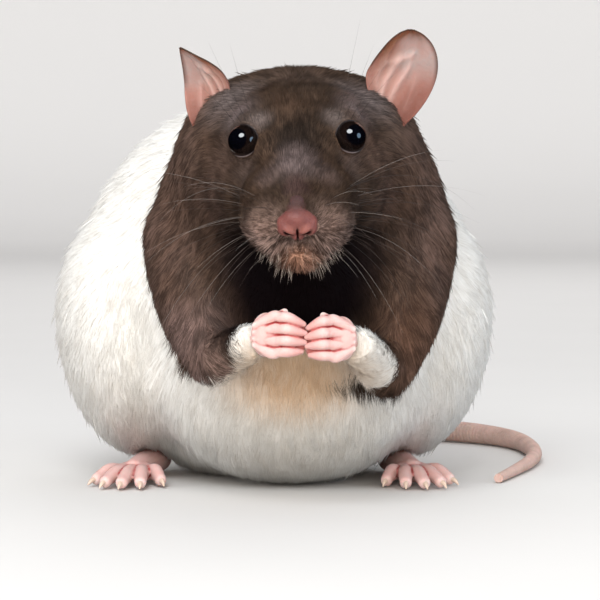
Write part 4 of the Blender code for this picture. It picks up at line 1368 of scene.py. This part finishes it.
def build_feet():
    """Two long hind feet flat on the floor, with five jointed toes each, and their claws."""
    colours = bpy.context.scene.rat_colours
    material = bare_material("foot_skin", tuple(colours.pink), tuple(colours.crease), 0.6)
    claws = []
    for name, side in SIDES.items():
        heel = Matrix.Translation((REAR_X + HEEL_OUT * side, HEEL_BACK, 0))
        frame_of = BODY @ heel @ Matrix.Rotation(FOOT_SPLAY * side, 4, "Z")
        sole = FOOT_LENGTH - TOES[2][1]
        pieces = [
            tube([(0, 0, 3.2), (0, -sole * 0.45, 3.3), (0, -sole, 2.9)], (3.2, 3.3, 2.8), frame_of=frame_of),
            blob((0, -sole + 1.0, 2.6), (5.3, 5.0, 2.5), frame_of=frame_of),
        ]
        for turn, length in TOES:
            turn = math.radians(turn)
            ahead = Vector((math.sin(turn), -math.cos(turn), 0))
            root = Vector((math.sin(turn) * 7.5, -sole + 2.0 + 3.0 * (1 - math.cos(turn)), 2.3))
            knuckle = root + ahead * length * 0.5 + Vector((0, 0, 1.0))
            tip = root + ahead * length + Vector((0, 0, -0.75))
            pieces.append(tube([root, knuckle, tip], (1.8, 1.55, 1.45), frame_of=frame_of))
            for share, size in ((0.42, 1.75), (0.78, 1.6)):
                spot = root.lerp(tip, share) + Vector((0, 0, 0.55))
                pieces.append(blob(spot, (size, size, size), frame_of=frame_of, segments=20))
            end = tip + ahead * 3.2 + Vector((0, 0, -1.0))
            bend = tip.lerp(end, 0.6) + Vector((0, 0, 0.4))
            claws.append(tube([tip, bend, end], (0.75, 0.55, 0.2), sides=12, frame_of=frame_of))
        obj = fused(f"bare_foot_{name}", pieces, 0.28, 4)
        on_floor(obj)
        set_hollows(obj, 0.42)
        finished(obj, material, "bare_skin", f"foot_{name}")
    obj = joined("toe_claws", claws)
    on_floor(obj)
    finished(obj, claw_material(), "bare_skin")


# Tail and whiskers, by Geometry Nodes

# The tail's line on the floor from the rump, its radius at both ends, and its rise at the rump and how far
# that reaches
TAIL_X = (-6.5, -7.0, -7.5, -4.0, 6.0, 20.0, 35.0, 47.5, 55.5, 58.5, 58.5, 55.5, 51.0, 46.5)
TAIL_Y = (100.0, 114.0, 128.0, 141.0, 152.0, 157.5, 155.5, 147.0, 134.0, 118.0, 101.0, 84.5, 69.0, 55.0)
TAIL_BASE, TAIL_TIP, TAIL_LIFT, TAIL_LIFTED = 4.9, 1.1, 9.0, 30.0
TAIL_TAPER = 0.8


class Growth:
    """A Geometry Nodes tree that turns curves into a plain mesh."""

    def __init__(self, name, **sizes):
        self.tree = bpy.data.node_groups.new(name, "GeometryNodeTree")
        self.inputs = {}
        self.sizes = sizes
        ports = self.tree.interface
        ports.new_socket("Geometry", in_out="INPUT", socket_type="NodeSocketGeometry")
        for key, value in sizes.items():
            kind = "NodeSocketInt" if isinstance(value, int) else "NodeSocketFloat"
            port = ports.new_socket(key, in_out="INPUT", socket_type=kind)
            port.default_value = value
            self.inputs[key] = port.identifier
        port = ports.new_socket("Material", in_out="INPUT", socket_type="NodeSocketMaterial")
        self.inputs["Material"] = port.identifier
        ports.new_socket("Geometry", in_out="OUTPUT", socket_type="NodeSocketGeometry")
        self.enter = self.tree.nodes.new("NodeGroupInput")
        self.leave = self.tree.nodes.new("NodeGroupOutput")

    def node(self, kind, settings=None, inputs=None):
        """Adds a node with its settings and the values or links of its sockets."""
        made = self.tree.nodes.new(kind)
        for key, value in (settings or {}).items():
            setattr(made, key, value)
        for key, value in (inputs or {}).items():
            if isinstance(value, bpy.types.NodeSocket):
                self.tree.links.new(value, made.inputs[key])
            else:
                made.inputs[key].default_value = value
        return made.outputs

    def maths(self, operation, *values):
        """A Math node."""
        return self.node("ShaderNodeMath", {"operation": operation}, dict(enumerate(values)))[0]

    def sweep(self, curve, name, value, radius):
        """Sweeps a circle along a curve with a number, and ends in Realize Instances and Set Material."""
        kind = {"data_type": "FLOAT", "domain": "POINT"}
        facts = {"Geometry": curve, "Name": name, "Value": value}
        run = self.node("GeometryNodeStoreNamedAttribute", kind, facts)[0]
        facts = {"Resolution": self.enter.outputs["Sides"], "Radius": 1.0}
        hoop = self.node("GeometryNodeCurvePrimitiveCircle", None, facts)[0]
        facts = {"Curve": run, "Profile Curve": hoop, "Scale": radius, "Fill Caps": True}
        swept = self.node("GeometryNodeCurveToMesh", None, facts)[0]
        real = self.node("GeometryNodeRealizeInstances", None, {0: swept})[0]
        facts = {"Geometry": real, "Material": self.enter.outputs["Material"]}
        self.tree.links.new(self.node("GeometryNodeSetMaterial", None, facts)[0], self.leave.inputs[0])

    def grow(self, name, curve, material):
        """Runs the tree over a curve and gives the result as a plain mesh object."""
        source = bpy.data.objects.new(f"{name}_path", curve)
        bpy.context.scene.collection.objects.link(source)
        run = source.modifiers.new(self.tree.name, "NODES")
        run.node_group = self.tree
        for key, value in self.sizes.items():
            run[self.inputs[key]] = value
        run[self.inputs["Material"]] = material
        graph = bpy.context.evaluated_depsgraph_get()
        mesh = bpy.data.meshes.new_from_object(source.evaluated_get(graph))
        remove(source)
        return new_object(name, mesh)


def curve_through(name, runs):
    """A curve object's data with one open spline for each run of points."""
    curve = bpy.data.curves.new(name, "CURVE")
    curve.dimensions = "3D"
    for run in runs:
        spline = curve.splines.new("POLY")
        spline.points.add(len(run) - 1)
        spline.points.foreach_set("co", np.c_[np.array(run), np.ones(len(run))].ravel())
    return curve


def ringed_tail_tree():
    """Rings of scales round a tapering tube."""
    sizes = {"Ring": 1.15 * MM, "Depth": 0.075, "Base": TAIL_BASE * MM, "Tip": TAIL_TIP * MM, "Sides": 26}
    made = Growth("ringed_tail", **sizes)
    enter = made.enter.outputs
    facts = {"Curve": enter["Geometry"], "Length": made.maths("DIVIDE", enter["Ring"], 6.0)}
    run = made.node("GeometryNodeResampleCurve", {"mode": "LENGTH"}, facts)[0]
    along = made.node("GeometryNodeSplineParameter")
    share = made.maths("POWER", along["Factor"], TAIL_TAPER)
    less = made.maths("MULTIPLY", made.maths("SUBTRACT", enter["Tip"], enter["Base"]), share)
    taper = made.maths("ADD", enter["Base"], less)
    turn = made.maths("FRACT", made.maths("DIVIDE", along["Length"], enter["Ring"]))
    ring = made.maths("POWER", made.maths("SINE", made.maths("MULTIPLY", turn, math.pi)), 0.55)
    dip = made.maths("MULTIPLY", enter["Depth"], made.maths("SUBTRACT", ring, 1.0))
    made.sweep(run, "ring", ring, made.maths("MULTIPLY", taper, made.maths("ADD", dip, 1.0)))
    return made


def hair_tree(root_radius):
    """Stiff single hairs that taper to a point."""
    made = Growth(f"stiff_hair_{root_radius:.3f}", **{"Root": root_radius * MM, "Sides": 5})
    enter = made.enter.outputs
    along = made.node("GeometryNodeSplineParameter")
    share = made.maths("SUBTRACT", 1.0, made.maths("MULTIPLY", along["Factor"], 0.9))
    radius = made.maths("MULTIPLY", enter["Root"], share)
    made.sweep(enter["Geometry"], "along", along["Factor"], radius)
    return made


def tail_run():
    """The tail's middle line, down from the rump and along the floor."""
    plan = smooth_run([(x, y, 0.0) for x, y in zip(TAIL_X, TAIL_Y)], 8)
    run = [0.0]
    for near, far in zip(plan, plan[1:]):
        run.append(run[-1] + (far - near).length)
    path = []
    for point, length in zip(plan, run):
        radius = TAIL_BASE + (TAIL_TIP - TAIL_BASE) * (length / run[-1]) ** TAIL_TAPER
        lift = TAIL_LIFT * max(0.0, 1 - length / TAIL_LIFTED) ** 1.6
        path.append(BODY @ Vector((point.x, point.y, radius - 0.12 + lift)))
    return path


def build_tail():
    """The whole tail in one piece."""
    material = tail_material()
    obj = ringed_tail_tree().grow("ringed_tail", curve_through("tail_line", [tail_run()]), material)
    on_floor(obj)
    finished(obj, material, "tail_skin", "tail_root", "tail_upper", "tail_lower", "tail_tip")


def whisker(root, way, length, droop, steps=14):
    """A hair's middle line, from a root in the head's frame, that bends down under its weight."""
    run = []
    for k in range(steps + 1):
        t = k / steps
        point = HEAD @ (root + way * length * t)
        point.z -= droop * length * t**2.2 * MM
        run.append(tuple(point))
    return run


def lip_hairs(rng, count=110):
    """Middle lines of fine hairs that hang from the lips and the chin."""
    points, _, normals = arrays_of(bpy.data.objects["skin"].data)
    places, facing = in_head(points), normals @ np.array(HEAD_TURN)
    beside = (np.abs(places[:, 0]) > 1.6) & (np.abs(places[:, 0]) < 10.5)
    low = (places[:, 2] < -6.5) & (places[:, 2] > -13.5) & beside & (places[:, 1] < 12)
    chosen = rng.choice(np.flatnonzero(low & (facing[:, 1] < 0.3) & (facing[:, 2] < 0.3)), count)
    runs = []
    for place, normal in zip(places[chosen], facing[chosen]):
        way = normal * 0.55 + np.array((0.04 * place[0], -0.15, -0.75)) + rng.normal(0, 0.12, 3)
        runs.append(whisker(Vector(place), Vector(way).normalized(), rng.uniform(1.8, 3.8), 0.15, 6))
    return runs


# Root and tip colours of the stiff hairs
WHISKER = {
    "whiskers_dark": ((0.018, 0.012, 0.010), (0.080, 0.060, 0.052)),
    "whiskers_pale": ((0.10, 0.078, 0.068), (0.36, 0.33, 0.31)),
    "lip_fringe": ((0.30, 0.19, 0.14), (0.72, 0.62, 0.54)),
}


def build_whiskers():
    """Long whiskers in rows on both pads, brow hairs over the eyes and fine hairs round the lips."""
    rng = np.random.default_rng(bpy.context.scene.rat_coat.seed + 1)
    dark, pale = [], []
    for side in SIDES.values():
        for row in range(5):
            for column in range(6):
                height = 1.6 - 2.1 * row - 0.2 * column
                root = Vector(((4.6 + 0.95 * column) * side, 5.2 + 2.1 * column, height))
                forward = 0.05 + 0.16 * column - 0.25 * (1 - column / 5)
                out = Vector((side * (1.0 + 0.12 * rng.normal()), forward, 0.42 - 0.26 * row))
                out = (out + Vector(rng.normal(0, 0.11, 3))).normalized()
                length = (13 + 6.4 * column) * (1.0 - 0.09 * abs(row - 1.5)) * rng.uniform(0.65, 1.12)
                hair = whisker(root, out, length, rng.uniform(0.10, 0.55))
                (dark if rng.uniform() < 0.62 else pale).append(hair)
        for k in range(4):
            root = Vector(((9.0 + 1.4 * k) * side, 22.5 + 1.6 * k, 14.2 - 0.5 * k))
            out = Vector((side * (0.30 + 0.16 * k), 0.30, 1.0)).normalized()
            dark.append(whisker(root, out, rng.uniform(12, 20), -0.12 + 0.1 * k))
    fringe = lip_hairs(rng)
    for name, runs, radius, slot in (
        ("whiskers_dark", dark, 0.048, "hood"),
        ("whiskers_pale", pale, 0.038, "white_coat"),
        ("lip_fringe", fringe, 0.034, "white_coat"),
    ):
        material = whisker_material(f"{name}_hair", *WHISKER[name])
        finished(hair_tree(radius).grow(name, curve_through(name, runs), material), material, slot)


# The stage

# The camera in the body's frame, the floor in metres, and each lamp: place, size, watts and colour
CAMERA_AT, CAMERA_WAY = (0.0, -650.0, 79.76), (0.0, 1.0, -0.0524)
LENS, SENSOR = 181.3, 36.0
FLOOR_FLAT, FLOOR_SWEEP, FLOOR_LOWER, FLOOR_SIDES = 1.5, 0.7, 0.0002, 96
LAMPS_AIM = Vector((0, -0.03, 0.05))
LAMPS = (
    ("window", (-0.20, -0.85, 0.82), 0.68, 10.0, (0.93, 0.97, 1.0)),
    ("glint", (0.86, -0.50, 0.19), 0.62, 2.7, (0.50, 0.75, 1.0)),
    ("left", (-0.95, -0.60, 0.20), 0.60, 4.2, (1.0, 0.97, 0.94)),
    ("right", (0.95, -0.60, 0.20), 0.9, 2.2, (1.0, 0.78, 0.58)),
    ("low", (0.05, -1.1, 0.16), 0.7, 9.5, (1.0, 0.90, 0.78)),
    ("back", (0.1, 1.0, 0.9), 0.9, 4.5, (1.0, 1.0, 1.0)),
)


def floor_material():
    """Matt pale paper, lighter where it sweeps up."""
    paint = Paint("pale_floor", roughness=0.9, Specular_IOR_Level=0.2)
    place = paint.place()
    x, y, _ = paint.parts(place)
    near = paint.mix(paint.noise(place, 60.0, 2.0), (0.635, 0.625, 0.610), (0.655, 0.645, 0.630))
    return paint.end(Base_Color=paint.mix(radius_of(x, y).rise(1.3, 1.9), near, (0.92, 0.91, 0.89)))


def build_stage():
    """A pale floor that sweeps up all round, soft lamps and the camera."""
    scene = bpy.context.scene
    profile = [(0.0, 0.0), (FLOOR_FLAT, 0.0)]
    for k in range(1, 13):
        a = math.radians(90 * k / 12)
        profile.append((FLOOR_FLAT + FLOOR_SWEEP * math.sin(a), FLOOR_SWEEP * (1 - math.cos(a))))
    bm = bmesh.new()
    rows = []
    for radius, height in profile:
        angles = [2 * math.pi * j / FLOOR_SIDES for j in range(FLOOR_SIDES if radius else 1)]
        row = [(radius * math.cos(a), radius * math.sin(a), height - FLOOR_LOWER) for a in angles]
        rows.append([bm.verts.new(spot) for spot in row])
    for near, far in zip(rows, rows[1:]):
        for j in range(FLOOR_SIDES):
            after = (j + 1) % FLOOR_SIDES
            if len(near) == 1:
                bm.faces.new((near[0], far[j], far[after]))
            else:
                bm.faces.new((near[j], far[j], far[after], near[after]))
    mesh = bpy.data.meshes.new("floor")
    bm.to_mesh(mesh)
    bm.free()
    floor = new_object("floor", mesh)
    floor.data.materials.append(floor_material())
    floor.data.shade_smooth()

    world = bpy.data.worlds.new("studio")
    scene.world = world
    world.use_nodes = True
    sky = world.node_tree.nodes["Background"].inputs
    sky["Color"].default_value = (0.97, 0.96, 0.98, 1.0)
    sky["Strength"].default_value = 0.72
    world.cycles_visibility.glossy = False
    floor.visible_glossy = False
    for name, at, size, watts, colour in LAMPS:
        lamp = bpy.data.lights.new(name, "AREA")
        lamp.shape = "DISK"
        lamp.size, lamp.energy, lamp.color = size, watts, colour
        obj = bpy.data.objects.new(name, lamp)
        obj.visible_camera = False
        obj.visible_glossy = name in ("window", "glint")
        obj.location = at
        obj.rotation_euler = (LAMPS_AIM - Vector(at)).to_track_quat("-Z", "Y").to_euler()
        scene.collection.objects.link(obj)

    camera = bpy.data.cameras.new("photo_camera")
    camera.lens, camera.sensor_width = LENS, SENSOR
    camera.clip_start, camera.clip_end = 0.01, 20.0
    obj = bpy.data.objects.new("photo_camera", camera)
    obj.location = BODY @ Vector(CAMERA_AT)
    obj.rotation_euler = Vector(CAMERA_WAY).to_track_quat("-Z", "Y").to_euler()
    scene.collection.objects.link(obj)
    scene.camera = obj
    scene.view_settings.view_transform = "Standard"


# The add-on


class RAT_OT_stage(bpy.types.Operator):
    """Floor, lamps and camera"""

    bl_idname = "rat.stage"
    bl_label = "Stage"

    def execute(self, context):
        build_stage()
        return {"FINISHED"}


class RAT_OT_skin(bpy.types.Operator):
    """One skin over the flesh, with lids and mouth"""

    bl_idname = "rat.skin"
    bl_label = "Skin"

    def execute(self, context):
        build_skin()
        return {"FINISHED"}


class RAT_OT_coat(bpy.types.Operator):
    """All tufts of the coat"""

    bl_idname = "rat.coat"
    bl_label = "Coat"

    def execute(self, context):
        build_coat()
        return {"FINISHED"}


class RAT_OT_nose(bpy.types.Operator):
    """The bare nose pad"""

    bl_idname = "rat.nose"
    bl_label = "Nose"

    def execute(self, context):
        build_nose()
        return {"FINISHED"}


class RAT_OT_eyes(bpy.types.Operator):
    """Eyeballs and lid edges"""

    bl_idname = "rat.eyes"
    bl_label = "Eyes"

    def execute(self, context):
        build_eyes()
        return {"FINISHED"}


class RAT_OT_ears(bpy.types.Operator):
    """Both ear cups"""

    bl_idname = "rat.ears"
    bl_label = "Ears"

    def execute(self, context):
        build_ears()
        return {"FINISHED"}


class RAT_OT_hands(bpy.types.Operator):
    """Bare hands and finger claws"""

    bl_idname = "rat.hands"
    bl_label = "Hands"

    def execute(self, context):
        build_hands()
        return {"FINISHED"}


class RAT_OT_feet(bpy.types.Operator):
    """Bare hind feet and toe claws"""

    bl_idname = "rat.feet"
    bl_label = "Feet"

    def execute(self, context):
        build_feet()
        return {"FINISHED"}


class RAT_OT_tail(bpy.types.Operator):
    """The ringed tail"""

    bl_idname = "rat.tail"
    bl_label = "Tail"

    def execute(self, context):
        build_tail()
        return {"FINISHED"}


class RAT_OT_whiskers(bpy.types.Operator):
    """Whiskers, brow hairs and lip fringe"""

    bl_idname = "rat.whiskers"
    bl_label = "Whiskers"

    def execute(self, context):
        build_whiskers()
        return {"FINISHED"}


OPERATORS = [
    RAT_OT_stage,
    RAT_OT_skin,
    RAT_OT_coat,
    RAT_OT_nose,
    RAT_OT_eyes,
    RAT_OT_ears,
    RAT_OT_hands,
    RAT_OT_feet,
    RAT_OT_tail,
    RAT_OT_whiskers,
]


class RAT_PT_panel(bpy.types.Panel):
    """Lists the steps that build the rat."""

    bl_label = "Hooded rat"
    bl_space_type = "VIEW_3D"
    bl_region_type = "UI"
    bl_category = "Rat"

    def draw(self, context):
        for made in OPERATORS:
            self.layout.operator(made.bl_idname)
        for group in (context.scene.rat_coat, context.scene.rat_colours):
            for key in group.__annotations__:
                self.layout.prop(group, key)


CLASSES = [RatColours, RatCoat, *OPERATORS, RAT_PT_panel]


def register():
    for made in CLASSES:
        bpy.utils.register_class(made)
    bpy.types.Scene.rat_colours = bpy.props.PointerProperty(type=RatColours)
    bpy.types.Scene.rat_coat = bpy.props.PointerProperty(type=RatCoat)


def unregister():
    del bpy.types.Scene.rat_coat
    del bpy.types.Scene.rat_colours
    for made in reversed(CLASSES):
        bpy.utils.unregister_class(made)


def main():
    """Builds the rat."""
    register()
    for made in OPERATORS:
        getattr(bpy.ops.rat, made.bl_idname.split(".")[1])()


if __name__ == "__main__":
    main()
